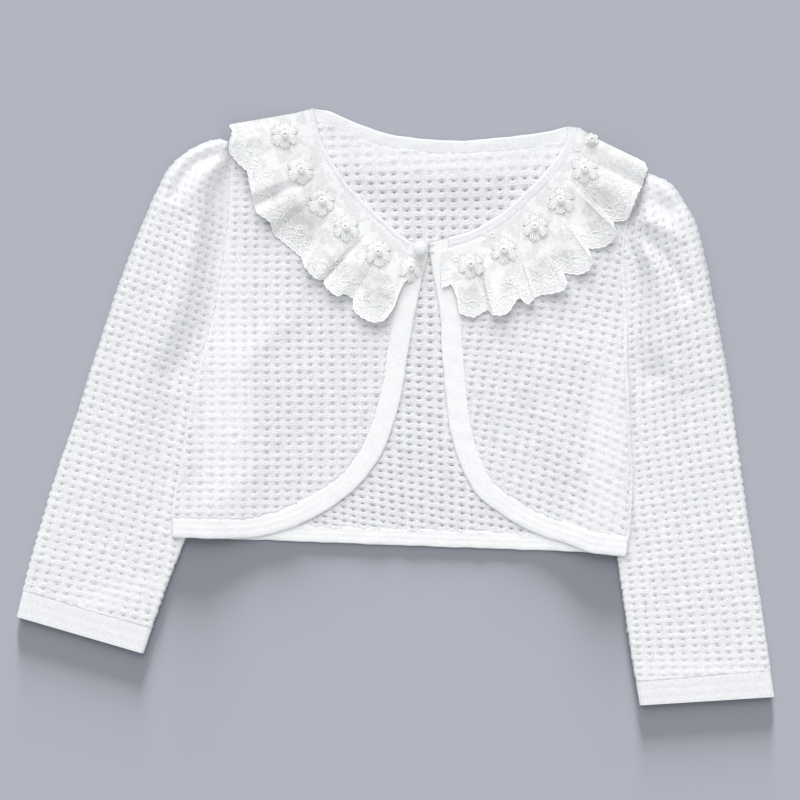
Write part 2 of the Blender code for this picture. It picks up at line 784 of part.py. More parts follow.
class Ruffle:
    """A gathered strip of lace that lies on a front, from the neck binding out."""

    def __init__(self, neck: Line, flutes: Sequence[Flute], binding_side: float) -> None:
        """Hold the neck line, the flutes and the side of the line on which the lace lies."""
        self.neck = neck
        self.flutes = flutes
        self.side = binding_side

    def middle(self, places: np.ndarray, reaches: np.ndarray) -> np.ndarray:
        """Points halfway through the lace, at places along the flutes and reaches out from the neck."""
        rows = spline(self.flutes, places, RUFFLE_PULL)
        start = self.neck.beside(np.clip(rows[:, 0], 0, 1), self.side * LACE_START)
        end = rows[:, 1:3]
        plan = start[:, None] + reaches[None, :, None] * (end - start)[:, None]
        swell = np.clip((reaches - FLUTE_START) / (1 - FLUTE_START), 0, 1)
        height = np.maximum(rows[:, 3], 0.3)[:, None] * swell[None]
        base = front_base(plan) + WALL + LACE_CLEARANCE + LACE_WALL / 2
        return np.concatenate([plan, (base + height)[..., None]], axis=-1)

    def faces_of_cloth(self, places: np.ndarray, reaches: np.ndarray) -> tuple:
        """Upper and lower points of the lace at a grid of places and reaches."""
        middle = self.middle(places, reaches)
        along = np.gradient(middle, axis=0)
        outward = np.gradient(middle, axis=1)
        across = np.cross(along, outward)
        across /= np.linalg.norm(across, axis=-1, keepdims=True)
        across *= self.side
        half = across * LACE_WALL / 2
        return middle + half, middle - half


def add_ruffle(name: str, ruffle: Ruffle) -> np.ndarray:
    """One front ruffle; its upper points are returned."""
    count = (len(ruffle.flutes) - 1) * FLUTE_STEPS + 1
    places = np.linspace(0, len(ruffle.flutes) - 1, count)
    reaches = np.array((0.0, 0.2, 0.4, 0.6, 0.8, 1.0))
    upper, lower = ruffle.faces_of_cloth(places, reaches)
    faces = grid_faces(count, len(reaches))
    points, walls = shell(upper.reshape(-1, 3), lower.reshape(-1, 3), faces)
    add_solid(name, "lace", points, walls)
    dense = np.linspace(0, len(ruffle.flutes) - 1, count * 5)
    return ruffle.faces_of_cloth(dense, np.linspace(0, 1, 70))[0].reshape(-1, 3)


def resting_height(plan: np.ndarray, under: np.ndarray) -> np.ndarray:
    """Height of the highest of some points within reach of each place."""
    distance = np.linalg.norm(plan[:, None, :] - under[None, :, :2], axis=-1)
    near = np.where(distance < 2.2, under[None, :, 2], -1.0).max(axis=1)
    floor = front_base(plan) + WALL + LACE_CLEARANCE
    return np.maximum(near, floor)


def add_flower(name: str, flower: Flower, under: np.ndarray) -> float:
    """A lace daisy draped on the points under it; the height of its middle is returned."""
    steps = PETALS * PETAL_STEPS
    turns = np.arange(steps) * 2 * math.pi / steps
    lobes = np.abs(np.cos(PETALS / 2 * (turns - math.pi / steps))) ** 0.6
    outline = flower.radius * (PETAL_NOTCH + (1 - PETAL_NOTCH) * lobes)
    round_line = np.column_stack([np.cos(turns), np.sin(turns)])
    middle = np.array((flower.right, flower.up))
    plan = np.concatenate([
        middle[None],
        middle + 0.5 * outline[:, None] * round_line,
        middle + outline[:, None] * round_line,
    ])
    rest = resting_height(plan, under) + FLOWER_CLEARANCE
    rest[0] = rest[1:steps + 1].mean()
    crown = np.concatenate([[0.0], np.full(steps, FLOWER_CROWN), np.zeros(steps)])
    faces = []
    for step in range(steps):
        after = (step + 1) % steps
        faces.append((0, 1 + step, 1 + after))
        faces.append((1 + step, 1 + steps + step, 1 + steps + after, 1 + after))
    upper = np.column_stack([plan, rest + FLOWER_WALL + crown])
    lower = np.column_stack([plan, rest])
    points, walls = shell(upper, lower, faces)
    add_solid(name, "lace", points, walls)
    return float(upper[0, 2])


def add_pearls(side: str, flowers: Sequence[Flower], under: np.ndarray, pearl: bpy.types.Mesh) -> None:
    """The daisies of one side, each with its pearl."""
    for number, flower in enumerate(flowers, start=1):
        top = add_flower(f"daisy_{side}_{number}", flower, under)
        piece = add(f"pearl_{side}_{number}", "pearl", pearl)
        height = top + FLOWER_CROWN / 2 + PEARL_CLEARANCE + PEARL_DIAMETER / 2
        piece.location = (flower.right * MM, flower.up * MM, height * MM)


def make_pearl() -> bpy.types.Mesh:
    """Mesh of a small pearl."""
    bpy.ops.mesh.primitive_uv_sphere_add(segments=8, ring_count=6, radius=PEARL_DIAMETER / 2 * MM)
    ball = bpy.context.active_object
    mesh = ball.data
    mesh.name = "pearl"
    mesh.shade_smooth()
    mesh.materials.append(finish("pearl", *FINISHES["pearl"]))
    bpy.data.objects.remove(ball)
    return mesh


def add_button(base: float) -> None:
    """The round button, turned about its shank."""
    half = BUTTON_DIAMETER / 2
    shank = SHANK_DIAMETER / 2
    rise = BUTTON_HEIGHT / 2
    profile = []
    for step in range(9):
        turn = math.pi / 2 - step * math.radians(150) / 8
        profile.append((half * math.cos(turn), SHANK_HEIGHT + rise + rise * math.sin(turn)))
    profile[0] = (0.0, SHANK_HEIGHT + 2 * rise)
    profile += [(shank, SHANK_HEIGHT), (shank, 0.0), (0.0, 0.0)]
    mesh = bpy.data.meshes.new("button")
    points = [(right * MM, 0.0, height * MM) for right, height in profile]
    mesh.from_pydata(points, [(index, index + 1) for index in range(len(points) - 1)], [])
    button = add("button", "pearl", mesh)
    button.location = (BUTTON_SPOT.right * MM, BUTTON_SPOT.up * MM, base * MM)
    turned = button.modifiers.new("turned", "SCREW")
    turned.steps = 16
    turned.render_steps = 16
    turned.use_merge_vertices = True
    turned.merge_threshold = 0.00001
    turned.use_smooth_shade = True


def add_button_loop(base: float) -> None:
    """The cord loop from the left front round the button's shank."""
    reach = SHANK_DIAMETER / 2 + LOOP_CORD / 2 + 0.4
    height = base + LOOP_CORD / 2 + 0.2
    turns = [math.radians(angle) for angle in range(60, 301, 30)]
    spots = [Spot(BUTTON_SPOT.right + LOOP_REACH, BUTTON_SPOT.up + reach)]
    spots += [Spot(BUTTON_SPOT.right + reach * math.cos(turn), BUTTON_SPOT.up + reach * math.sin(turn))
              for turn in turns]
    spots += [Spot(BUTTON_SPOT.right + LOOP_REACH, BUTTON_SPOT.up - reach)]
    curve = bpy.data.curves.new("button_loop", "CURVE")
    curve.dimensions = "3D"
    curve.bevel_depth = LOOP_CORD / 2 * MM
    curve.bevel_resolution = 1
    curve.use_fill_caps = True
    cord = curve.splines.new("POLY")
    cord.points.add(len(spots) - 1)
    for point, spot in zip(cord.points, spots):
        point.co = (spot.right * MM, spot.up * MM, height * MM, 1.0)
    curve.materials.append(finish("button_loop", *FINISHES["jersey"]))
    bpy.data.collections["cardigan"].objects.link(bpy.data.objects.new("button_loop", curve))


def outline_points(armhole: Line, side: Line, head: Sequence[HeadSection], level: float) -> np.ndarray:
    """Points down the outer edge of a panel, from the shoulder past the underarm to a level."""
    seams = np.append(head_rows(head)[:, 2], 1.0)[::-1]
    return np.vstack([armhole.at(seams), side.down_to(level, SIDE_STEPS)[1:]])


class Front:
    """One front: its panel, the band along its edge and the binding along its neck."""

    def __init__(self, side: str, outward: float, corner: float, head: Sequence[HeadSection], lines: dict) -> None:
        """Hold the lines of a front and the places where its band and its binding meet."""
        self.side = side
        self.outward = outward
        self.corner = corner
        self.head = head
        self.lines = lines
        self.neck = lines["neck_" + side].longer(0.0, 6.0)
        self.edge = lines["front_edge_" + side].longer(10.0, 0.0)
        self.band = outward * FRONT_BAND_WIDTH
        self.binding = outward * NECK_BINDING_WIDTH
        self.gap = outward * SEAM_GAP
        inset = self.band + self.gap
        self.neck_end, self.edge_start = crossing(self.neck, self.binding + self.gap, self.edge, inset)
        self.neck_shares = np.linspace(0, self.neck_end, NECK_STEPS + 1)
        down = ARMHOLE_STEPS + SIDE_STEPS - NECK_STEPS
        self.down_shares = np.linspace(self.edge_start, corner, down + 1)
        self.across_shares = np.linspace(corner, 1.0, FRONT_STEPS + 1)

    def add_panel(self) -> None:
        """The knit panel."""
        armhole = self.lines["armhole_" + self.side]
        inset = self.band + self.gap
        neck = self.neck.beside(self.neck_shares, self.binding + self.gap)
        down = np.vstack([neck, self.edge.beside(self.down_shares, inset)[1:]])
        bottom = self.edge.beside(self.across_shares, inset)[::-1]
        outline = outline_points(armhole, self.lines["side_" + self.side], self.head, bottom[0, 1])
        shoulder = np.linspace(outline[0], neck[0], FRONT_STEPS + 1)
        bottom[0] = outline[-1]
        add_panel("front_panel_" + self.side, patch(shoulder, bottom, outline, down), front_base)

    def add_band(self) -> None:
        """The band down the front edge and round to the side."""
        start, _ = crossing(self.edge, 0.0, self.neck, 0.0)
        inner_start, _ = crossing(self.edge, self.band, self.neck, 0.0)
        shares = np.concatenate([self.down_shares, self.across_shares[1:]])
        outer = np.vstack([self.edge.at(start), self.edge.at(shares)])
        inner = np.vstack([self.edge.beside(inner_start, self.band), self.edge.beside(shares, self.band)])
        add_strip("front_band_" + self.side, outer, inner, front_base, WALL + JERSEY_PROUD)

    def add_binding(self) -> None:
        """The binding from the shoulder to the band."""
        inset = self.band + self.gap
        end, _ = crossing(self.neck, 0.0, self.edge, inset)
        inner_end, _ = crossing(self.neck, self.binding, self.edge, inset)
        shares = self.neck_shares[:-1]
        outer = np.vstack([self.neck.at(shares), self.neck.at(end)])
        inner = np.vstack([self.neck.beside(shares, self.binding), self.neck.beside(inner_end, self.binding)])
        add_strip("neck_binding_" + self.side, outer, inner, front_base, WALL + JERSEY_PROUD)


def build_back(lines: dict) -> None:
    """The back, its hem band and its neck binding."""
    shares = np.linspace(0, 1, BACK_NECK_STEPS + 1)
    outer = lines["neck_back"].at(shares)
    inner = lines["neck_back"].beside(shares, -NECK_BINDING_WIDTH)
    edge = lines["neck_back"].beside(shares, -NECK_BINDING_WIDTH - SEAM_GAP)
    for end, neck, outward in ((0, lines["neck_right"], -1.0), (-1, lines["neck_left"], 1.0)):
        inner[end] = neck.beside(0.0, outward * NECK_BINDING_WIDTH)
        edge[end] = neck.beside(0.0, outward * (NECK_BINDING_WIDTH + SEAM_GAP))
    add_strip("neck_binding_back", outer, inner, back_base, WALL)

    right = np.linspace(lines["armhole_right"].at(1.0), edge[0], SHOULDER_STEPS + 1)
    left = np.linspace(edge[-1], lines["armhole_left"].at(1.0), SHOULDER_STEPS + 1)
    top = np.vstack([right[:-1], edge, left[1:]])
    shares = np.linspace(0, 1, len(top))
    bottom = lines["back_hem"].beside(shares, BACK_BAND_WIDTH + SEAM_GAP)
    down_right = outline_points(lines["armhole_right"], lines["side_right"], HEAD_RIGHT, bottom[0, 1])
    down_left = outline_points(lines["armhole_left"], lines["side_left"], HEAD_LEFT, bottom[-1, 1])
    bottom[0] = down_right[-1]
    bottom[-1] = down_left[-1]
    add_panel("back_panel", patch(top, bottom, down_right, down_left), back_base)
    inner = lines["back_hem"].beside(shares, BACK_BAND_WIDTH)
    add_strip("back_hem_band", lines["back_hem"].at(shares), inner, back_base, WALL)


def build_fronts(lines: dict) -> None:
    """Both fronts with their bands and bindings."""
    for front in (
        Front("right", -1.0, CORNER_RIGHT, HEAD_RIGHT, lines),
        Front("left", 1.0, CORNER_LEFT, HEAD_LEFT, lines),
    ):
        front.add_panel()
        front.add_band()
        front.add_binding()


def build_collar(lines: dict) -> None:
    """The ruffles, the daisies and the pearls."""
    shares = np.linspace(0, 1, 21)
    inner = lines["neck_back"].beside(shares, -LACE_START)
    outer = Line(BACK_RUFFLE_EDGE).at(shares)
    rows = np.stack([inner, 0.5 * (inner + outer), outer])
    flat = rows.reshape(-1, 2)
    under = np.column_stack([flat, np.zeros(len(flat))])
    points, faces = shell(under + (0, 0, LACE_WALL), under, grid_faces(3, len(shares)))
    add_solid("collar_ruffle_back", "lace", points, faces)

    pearl = make_pearl()
    for side, outward, flutes, flowers in (
        ("right", -1.0, RUFFLE_RIGHT, FLOWERS_RIGHT),
        ("left", 1.0, RUFFLE_LEFT, FLOWERS_LEFT),
    ):
        ruffle = Ruffle(lines["neck_" + side], flutes, outward)
        top = add_ruffle("collar_ruffle_" + side, ruffle)
        add_pearls(side, flowers, top, pearl)


def build() -> None:
    """The whole garment."""
    for old in list(bpy.data.objects):
        bpy.data.objects.remove(old)
    garment = bpy.data.collections.new("cardigan")
    bpy.context.scene.collection.children.link(garment)
    lines = {
        "armhole_right": Line(ARMHOLE_RIGHT),
        "armhole_left": Line(ARMHOLE_LEFT),
        "side_right": Line(SIDE_RIGHT),
        "side_left": Line(SIDE_LEFT),
        "back_hem": Line(BACK_HEM),
        "neck_back": Line(NECK_BACK),
        "neck_right": Line(NECK_RIGHT),
        "neck_left": Line(NECK_LEFT),
        "front_edge_right": Line(FRONT_EDGE_RIGHT),
        "front_edge_left": Line(FRONT_EDGE_LEFT),
    }
    build_back(lines)
    build_fronts(lines)
    add_sleeve("right", ARM_RIGHT, HEAD_RIGHT, lines["armhole_right"], SLEEVE_FOLDS_RIGHT)
    add_sleeve("left", ARM_LEFT, HEAD_LEFT, lines["armhole_left"], SLEEVE_FOLDS_LEFT)
    build_collar(lines)
    spot = np.array((BUTTON_SPOT,))
    band_top = float(front_base(spot)[0]) + WALL + JERSEY_PROUD + 0.3
    add_button(band_top)
    add_button_loop(band_top)


build()
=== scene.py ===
"""Looks of a cropped white cardigan, laid flat: openwork knit, jersey bands, a lace collar, daisies and pearls.

Tables hold millimetres in the garment's own frame. The neck lies towards +Y, heights are measured from the
floor, and sides are the wearer's, so the right front and the right sleeve lie towards -X.
"""

import logging
import math
from dataclasses import dataclass
from enum import Enum
from typing import Callable, NamedTuple, Sequence

import bpy
import numpy as np
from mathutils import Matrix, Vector
from mathutils.bvhtree import BVHTree


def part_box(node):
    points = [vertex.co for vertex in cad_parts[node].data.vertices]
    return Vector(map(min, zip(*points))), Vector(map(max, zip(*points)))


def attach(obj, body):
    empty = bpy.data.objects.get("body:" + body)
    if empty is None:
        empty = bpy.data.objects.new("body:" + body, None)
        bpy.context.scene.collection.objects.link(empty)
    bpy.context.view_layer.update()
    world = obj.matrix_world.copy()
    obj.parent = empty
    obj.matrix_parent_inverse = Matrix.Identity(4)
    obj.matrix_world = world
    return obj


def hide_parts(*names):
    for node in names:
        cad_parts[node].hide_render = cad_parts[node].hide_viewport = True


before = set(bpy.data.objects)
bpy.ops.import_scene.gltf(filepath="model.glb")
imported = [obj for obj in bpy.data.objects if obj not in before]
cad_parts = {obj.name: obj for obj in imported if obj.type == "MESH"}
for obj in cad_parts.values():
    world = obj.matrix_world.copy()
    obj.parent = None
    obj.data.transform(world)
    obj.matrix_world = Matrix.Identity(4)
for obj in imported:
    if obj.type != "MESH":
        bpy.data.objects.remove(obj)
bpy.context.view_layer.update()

LOG = logging.getLogger("cardigan")
MM = 0.001
BODY = "root"

# Cloth
WALL = 1.2
SEAM_GAP = 0.35
LAYER_GAP = 0.7
JERSEY_THICK = 1.9
TUCK = 1.2

# Bands
FRONT_BAND_WIDTH = 14.0
BACK_BAND_WIDTH = 12.0
CUFF_BAND_WIDTH = 18.0
NECK_BINDING_WIDTH = 9.0

# Sleeves
SLEEVE_INSIDE = 0.8
SLEEVE_STACK = 2 * WALL + SLEEVE_INSIDE
CUFF_WALL = 1.4
CUFF_STACK = 2 * CUFF_WALL + SLEEVE_INSIDE
FOLD_ROUND = 3.0
CROWN_FALL = 0.4

# Where the body lies on the sleeves
BODY_ON_SLEEVE = SLEEVE_STACK + 0.3
SLEEVE_MARGIN = 7.0
UNDERARM_UP = 14.0
UNDERARM_MARGIN = 9.0
LIFT_RUN = 42.0

# Lace
LACE_WALL = 1.0
LACE_CLEARANCE = 0.8
LACE_START = 8.0
FLUTE_START = 0.08
RUFFLE_PULL = 0.5
COLLAR_LIFT = LACE_WALL + 0.3
COLLAR_MARGIN = 6.0
COLLAR_RUN = 18.0

# Flowers, pearls, button and loop
PETALS = 6
SHANK_DIAMETER = 3.0
LOOP_REACH = 9.0
PETAL_STEPS = 15
PETAL_NOTCH = 0.62
PETAL_LOBE = 0.34
DOME_SHARE = 0.55
DOME_REACH = 7.0
DOME_EDGE = 1.12
SEAT_OVER_FLOWER = 0.6
DAISY_RINGS = ((2.5, 0.40), (3.7, 0.28))
FINGERS = (-1.5, -0.5, 0.5, 1.5)
FINGER_START = 3.3
FINGER_THICK = 0.3
PEARL_SWELL = 1.06
PEARL_LEAN = 10.0
HOLE_TURN = 0.35

# Openwork: points along each side of a cell, the even tone of closed knit without the cells' painted shade, and the
# lowest point
CELL = 6
FULL_TONE = 0.86
FLOOR_GAP = 0.02

# Least area to divide by, and the plan's upright
TINY = 1e-12
UP = np.array((0.0, 0.0, 1.0))
DOWN = Vector((0.0, 0.0, -1.0))


Spots = tuple[tuple[float, float], ...]


class Spot(NamedTuple):
    """A point on the floor plan."""

    right: float
    up: float


class ArmSection(NamedTuple):
    """A section of a sleeve below the underarm: its two folds, its height and how far across it is raised."""

    outer_right: float
    outer_up: float
    inner_right: float
    inner_up: float
    crown: float
    raised: float


class HeadSection(NamedTuple):
    """A section of a sleeve head: its outer fold, where it meets the armhole seam, and its puff."""

    outer_right: float
    outer_up: float
    seam_share: float
    crown: float
    raised: float
    roll: float


class Fold(NamedTuple):
    """A soft ridge, or a trough where its height is negative, along a bent line."""

    start_right: float
    start_up: float
    middle_right: float
    middle_up: float
    end_right: float
    end_up: float
    width: float
    height: float


class Flute(NamedTuple):
    """A ridge or a valley of the ruffle, from its place along the neck to its outer end."""

    neck_share: float
    outer_right: float
    outer_up: float
    height: float


class Flower(NamedTuple):
    """A lace daisy with a pearl on it."""

    right: float
    up: float
    radius: float


def table(kind: Callable, rows: Sequence[Sequence[float]]) -> tuple:
    """Name the values of each row of a table."""
    return tuple(kind(*row) for row in rows)


# Body outline, each line through its spots
OUTLINE = {
    "armhole_right": (
        (-129, 12.5), (-124.5, 32), (-118.5, 53.5), (-113, 80), (-107.5, 119.5), (-106, 151), (-103.5, 175),
    ),
    "armhole_left": (
        (149.5, 12.5), (149, 30), (149, 63), (147, 96), (149, 116.5), (155, 131.5), (159.5, 145), (159.5, 154.5),
    ),
    "side_right": (
        (-129, 12.5), (-134, -11), (-139, -43), (-142.5, -57), (-144.5, -84.5),
    ),
    "side_left": (
        (149.5, 12.5), (151, -19.5), (152.5, -47.5), (151, -75.5), (149, -97),
    ),
    "back_hem": (
        (-144.5, -84.5), (-100, -86), (3, -90), (102.5, -93.5), (127, -94.5), (149, -97),
    ),
    "neck_back": (
        (-53, 193.5), (-42.5, 192), (-33.5, 188), (-16.5, 181), (3, 176), (36, 173), (69, 175), (96, 178.5),
        (111.5, 182),
    ),
    "neck_right": (
        (-53, 193.5), (-51.5, 186.5), (-47, 171), (-36.5, 152.5), (-25, 138), (-8, 122), (3, 112), (11.5, 106.5),
        (21, 104),
    ),
    "neck_left": (
        (111.5, 182), (109, 169.5), (96, 151.5), (75.5, 131.5), (62.5, 121.5), (49, 114.5), (36, 110.5), (22, 107),
    ),
    "front_edge_right": (
        (21, 104), (21, 97), (19, 90.5), (12.5, 59), (7.5, 30.5), (2.5, 1.5), (-7.5, -27.5), (-22, -49), (-41.5, -65),
        (-61.5, -76), (-83, -83), (-104, -85.5), (-144.5, -84.5),
    ),
    "front_edge_left": (
        (22, 107), (22.3, 97), (23.5, 90.5), (28.5, 63), (30, 37), (33, 3), (36.5, -20), (42.5, -38.5), (52.5, -56.5),
        (69, -70), (89.5, -81.5), (111, -89), (127, -94.5), (149, -97),
    ),
}
# Share of each front edge at which the rounded corner is half turned
CORNER_RIGHT = 0.58
CORNER_LEFT = 0.60

# Sleeves, from the cuff up
ARM_RIGHT = table(ArmSection, (
    (-246, -136, -163.5, -160, 3.4, 1), (-235.5, -95, -150, -120.5, 4.2, 1), (-221.5, -47.5, -131.5, -73, 5, 0.84),
    (-205.5, -1.5, -116, -28.5, 6.5, 0.72), (-198.5, 21.5, -108, -7, 8, 0.66),
))
HEAD_RIGHT = table(HeadSection, (
    (-192.5, 39.5, 0.00, 9, 0.80, 4.5), (-178, 83, 0.28, 11.5, 1, 7), (-164, 118.5, 0.51, 13, 1, 8),
    (-152.5, 144.5, 0.69, 14, 1, 8), (-146, 155.5, 0.77, 14, 1, 8), (-136, 164.5, 0.85, 13, 1, 7.5),
    (-124.5, 171, 0.92, 11, 1, 6.5), (-113.5, 174, 0.97, 7, 1, 4),
))
ARM_LEFT = table(ArmSection, (
    (246, -188, 158.5, -193.5, 3.4, 1), (238, -133.5, 150.5, -144.5, 4.2, 1), (227, -60.5, 140, -71.5, 5, 0.84),
    (218, 4.5, 130.5, -6.5, 6.5, 0.74), (216.5, 16, 129, 3, 7.5, 0.70),
))
HEAD_LEFT = table(HeadSection, (
    (213.5, 32, 0.00, 9, 0.80, 4.5), (208.5, 56.5, 0.18, 11, 1, 6), (202, 89.5, 0.43, 13, 1, 7.5),
    (195.5, 116.5, 0.64, 14, 1, 8), (187, 133, 0.77, 14, 1, 8), (178.5, 144.5, 0.86, 12.5, 1, 7),
    (168.5, 149.5, 0.93, 9.5, 1, 5), (164, 151.5, 0.97, 6.5, 1, 3),
))

# Gathers of the sleeve heads and long folds down the sleeves
SLEEVE_FOLDS_RIGHT = table(Fold, (
    (-112, 170, -134, 160, -148, 141, 6, 2), (-111, 164, -131.5, 155.5, -144, 133, 5.5, -5),
    (-109.5, 160, -125, 149, -136, 124, 6, 2), (-113.5, 149, -118, 118, -118.5, 69.5, 6, -4.5),
    (-131, 109, -140, 69, -152, 19, 8, 1.5), (-160, 49, -175, -11, -195, -71, 8, 1),
))
SLEEVE_FOLDS_LEFT = table(Fold, (
    (163, 147.5, 172, 142.5, 182.5, 132, 4.5, 2), (165.5, 132.5, 172.5, 128, 180, 121.5, 6, -3.5),
    (153.5, 117.5, 166.5, 118.5, 186, 106.5, 4, 2.5), (161, 108.5, 175, 94, 190, 67.5, 5, -4.5),
    (152.5, 111, 169.5, 87.5, 182.5, 40, 5, 2.5), (152.5, 100.5, 157, 79.5, 152, 50, 5, -5),
    (176, 39, 184, 9, 196, -61, 8, 1.2),
))

# Soft ridges that run from under the collar across the fronts
FRONT_FOLDS = table(Fold, (
    (-66, 59, -84, 43, -102, 23, 7, 1.6), (-92, -43, -108, -59, -126, -67, 9, 1.2),
    (86, 41, 96, -5, 114, -47, 8, 1.6), (126, 69, 138, 5, 142, -47, 8, 1),
))

# Collar, from the shoulder to the middle of the front
RUFFLE_RIGHT = table(Flute, (
    (0.008, -107.2, 182.6, 3), (0.030, -104.7, 177.8, 4.5), (0.065, -106.6, 170.3, 6.5), (0.107, -106.6, 164.8, 5.5),
    (0.144, -101.7, 158.2, 4), (0.185, -95.4, 152.4, 4.5), (0.234, -93.9, 145.6, 5.5), (0.290, -92, 137.5, 7),
    (0.326, -90.7, 131.6, 0.8), (0.353, -88.4, 125.1, 8), (0.391, -80.6, 119.9, 6), (0.410, -78.3, 112.4, 0.8),
    (0.426, -69.9, 105.3, 0.5), (0.452, -60.1, 96.8, 0.8), (0.471, -58.2, 91, 8), (0.580, -55, 86.6, 7),
    (0.683, -50.7, 83.2, 6), (0.703, -45.8, 83.2, 0.8), (0.732, -44.9, 78.3, 6), (0.763, -38, 72.1, 6.5),
    (0.787, -32.8, 73.8, 4.5), (0.806, -27, 70.2, 1.2), (0.827, -26.7, 63, 4), (0.845, -21.4, 58.1, 5.5),
    (0.864, -14.6, 55.2, 6), (0.880, -7.5, 56.5, 5), (0.894, -1, 65, 3), (0.908, 2.9, 75.4, 3),
    (0.919, 6.2, 81.9, 2.5), (0.931, 12, 85.5, 1),
))
RUFFLE_LEFT = table(Flute, (
    (0.017, 159.6, 158.9, 3), (0.054, 161.8, 153.4, 6.5), (0.085, 160.2, 148.8, 5), (0.116, 158.9, 143, 0.8),
    (0.148, 156, 138.4, 5.5), (0.175, 152.4, 129.3, 6.5), (0.200, 148.8, 121.5, 3.5), (0.219, 140.7, 120.5, 0.8),
    (0.240, 140.1, 118, 7.5), (0.260, 142.2, 113.7, 7), (0.281, 140.1, 108.2, 5), (0.300, 134.9, 104.3, 2.5),
    (0.320, 127.7, 103, 0.8), (0.337, 123.8, 103.7, 0.6), (0.360, 125.1, 98.8, 7.5), (0.384, 126.8, 93.9, 7),
    (0.408, 124.5, 88.7, 5.5), (0.432, 118.6, 86.1, 3.5), (0.458, 111.5, 87.1, 0.8), (0.482, 108.2, 86.8, 0.6),
    (0.503, 110, 79.6, 7), (0.523, 108.2, 75.7, 6.5), (0.546, 101.1, 73.8, 5), (0.569, 93.9, 73.1, 2),
    (0.588, 89.4, 70.8, 0.6), (0.601, 88.1, 68.9, 7), (0.621, 85.2, 66.9, 6), (0.646, 79.6, 71.2, 3.5),
    (0.674, 73.1, 62.1, 5.5), (0.706, 69.2, 59.8, 6.5), (0.769, 63.7, 59.8, 7), (0.784, 59.8, 63.7, 0.8),
    (0.812, 51, 58.8, 2), (0.853, 41.9, 61.1, 2.5), (0.893, 40.3, 69.5, 2), (0.926, 36.3, 79.5, 2),
    (0.955, 29.6, 77.3, 1.5),
))
BACK_RUFFLE_EDGE = table(Spot, (
    (-98, 171.5), (-87, 165.5), (-55.5, 159), (-29.5, 158), (3, 154), (36, 150), (69, 151), (97, 154), (126.5, 151),
    (151, 152),
))

FLOWERS_RIGHT = table(Flower, (
    (-71.5, 176, 9.5), (-61, 153.5, 9.5), (-47.5, 133.5, 9.5), (-32, 116.5, 9.5), (-11, 100.5, 9.5), (10, 90.5, 8.8),
))
FLOWERS_LEFT = table(Flower, (
    (126.5, 173, 4.5), (122, 154, 9.5), (106.5, 134, 9.5), (90, 117, 9.5), (70, 102, 9.5), (48.5, 92.5, 9.5),
))
BUTTON_SPOT = Spot(16, 102.8)


def ease(value: np.ndarray) -> np.ndarray:
    """Take a smooth step from 0 to 1."""
    held = np.clip(value, 0.0, 1.0)
    return held * held * (3.0 - 2.0 * held)


def unit(vectors: np.ndarray) -> np.ndarray:
    """Bring vectors to a length of 1."""
    return vectors / np.maximum(np.linalg.norm(vectors, axis=-1, keepdims=True), 1e-9)


def leftward(along: np.ndarray) -> np.ndarray:
    """Turn directions on the plan a quarter to the left."""
    return np.stack([-along[..., 1], along[..., 0]], axis=-1)


def around(turns: np.ndarray) -> np.ndarray:
    """Find the directions on the plan at some turns."""
    return np.stack([np.cos(turns), np.sin(turns)], axis=-1)


def full_turn(count: int) -> np.ndarray:
    """Space turns evenly round a circle."""
    return np.linspace(0, 2 * math.pi, count, endpoint=False)


def spanned(one: np.ndarray, two: np.ndarray) -> np.ndarray:
    """Find the signed areas between pairs of directions on the plan."""
    return one[..., 0] * two[..., 1] - one[..., 1] * two[..., 0]


def reached(points: np.ndarray) -> np.ndarray:
    """Measure the length of a bent line up to each of its points."""
    return np.concatenate(([0.0], np.cumsum(np.linalg.norm(np.diff(points, axis=0), axis=1))))


def at_height(plan: np.ndarray, height: np.ndarray) -> np.ndarray:
    """Lift points of the plan to their heights."""
    return np.concatenate([plan, height[..., None]], axis=-1)


def spread(rows: np.ndarray, columns: np.ndarray, shape: Sequence[int]) -> np.ndarray:
    """Give a grid its flat coordinates, the first from its rows and the second from its columns."""
    return np.stack([np.broadcast_to(rows[:, None], shape), np.broadcast_to(columns[None], shape)], axis=-1)


def spline(rows: Sequence, where: np.ndarray, pull: float = 1.0) -> np.ndarray:
    """Read a spline through the rows of a table.

    Args:
        rows: Rows of the table.
        where: Fractional row numbers.
        pull: How strongly the spline bends; less bends it less.

    Returns:
        One row of values for each row number.
    """
    table = np.asarray(rows, dtype=float)
    last = len(table) - 1
    base = np.clip(np.floor(where).astype(int), 0, last - 1)
    part = (where - base)[:, None]
    here = table[base]
    after = table[base + 1]
    leaving = 0.5 * pull * (after - table[np.clip(base - 1, 0, last)])
    arriving = 0.5 * pull * (table[np.clip(base + 2, 0, last)] - here)
    turn = part * part * (3 - 2 * part)
    return here + turn * (after - here) + part * (1 - part) * ((1 - part) * leaving - part * arriving)


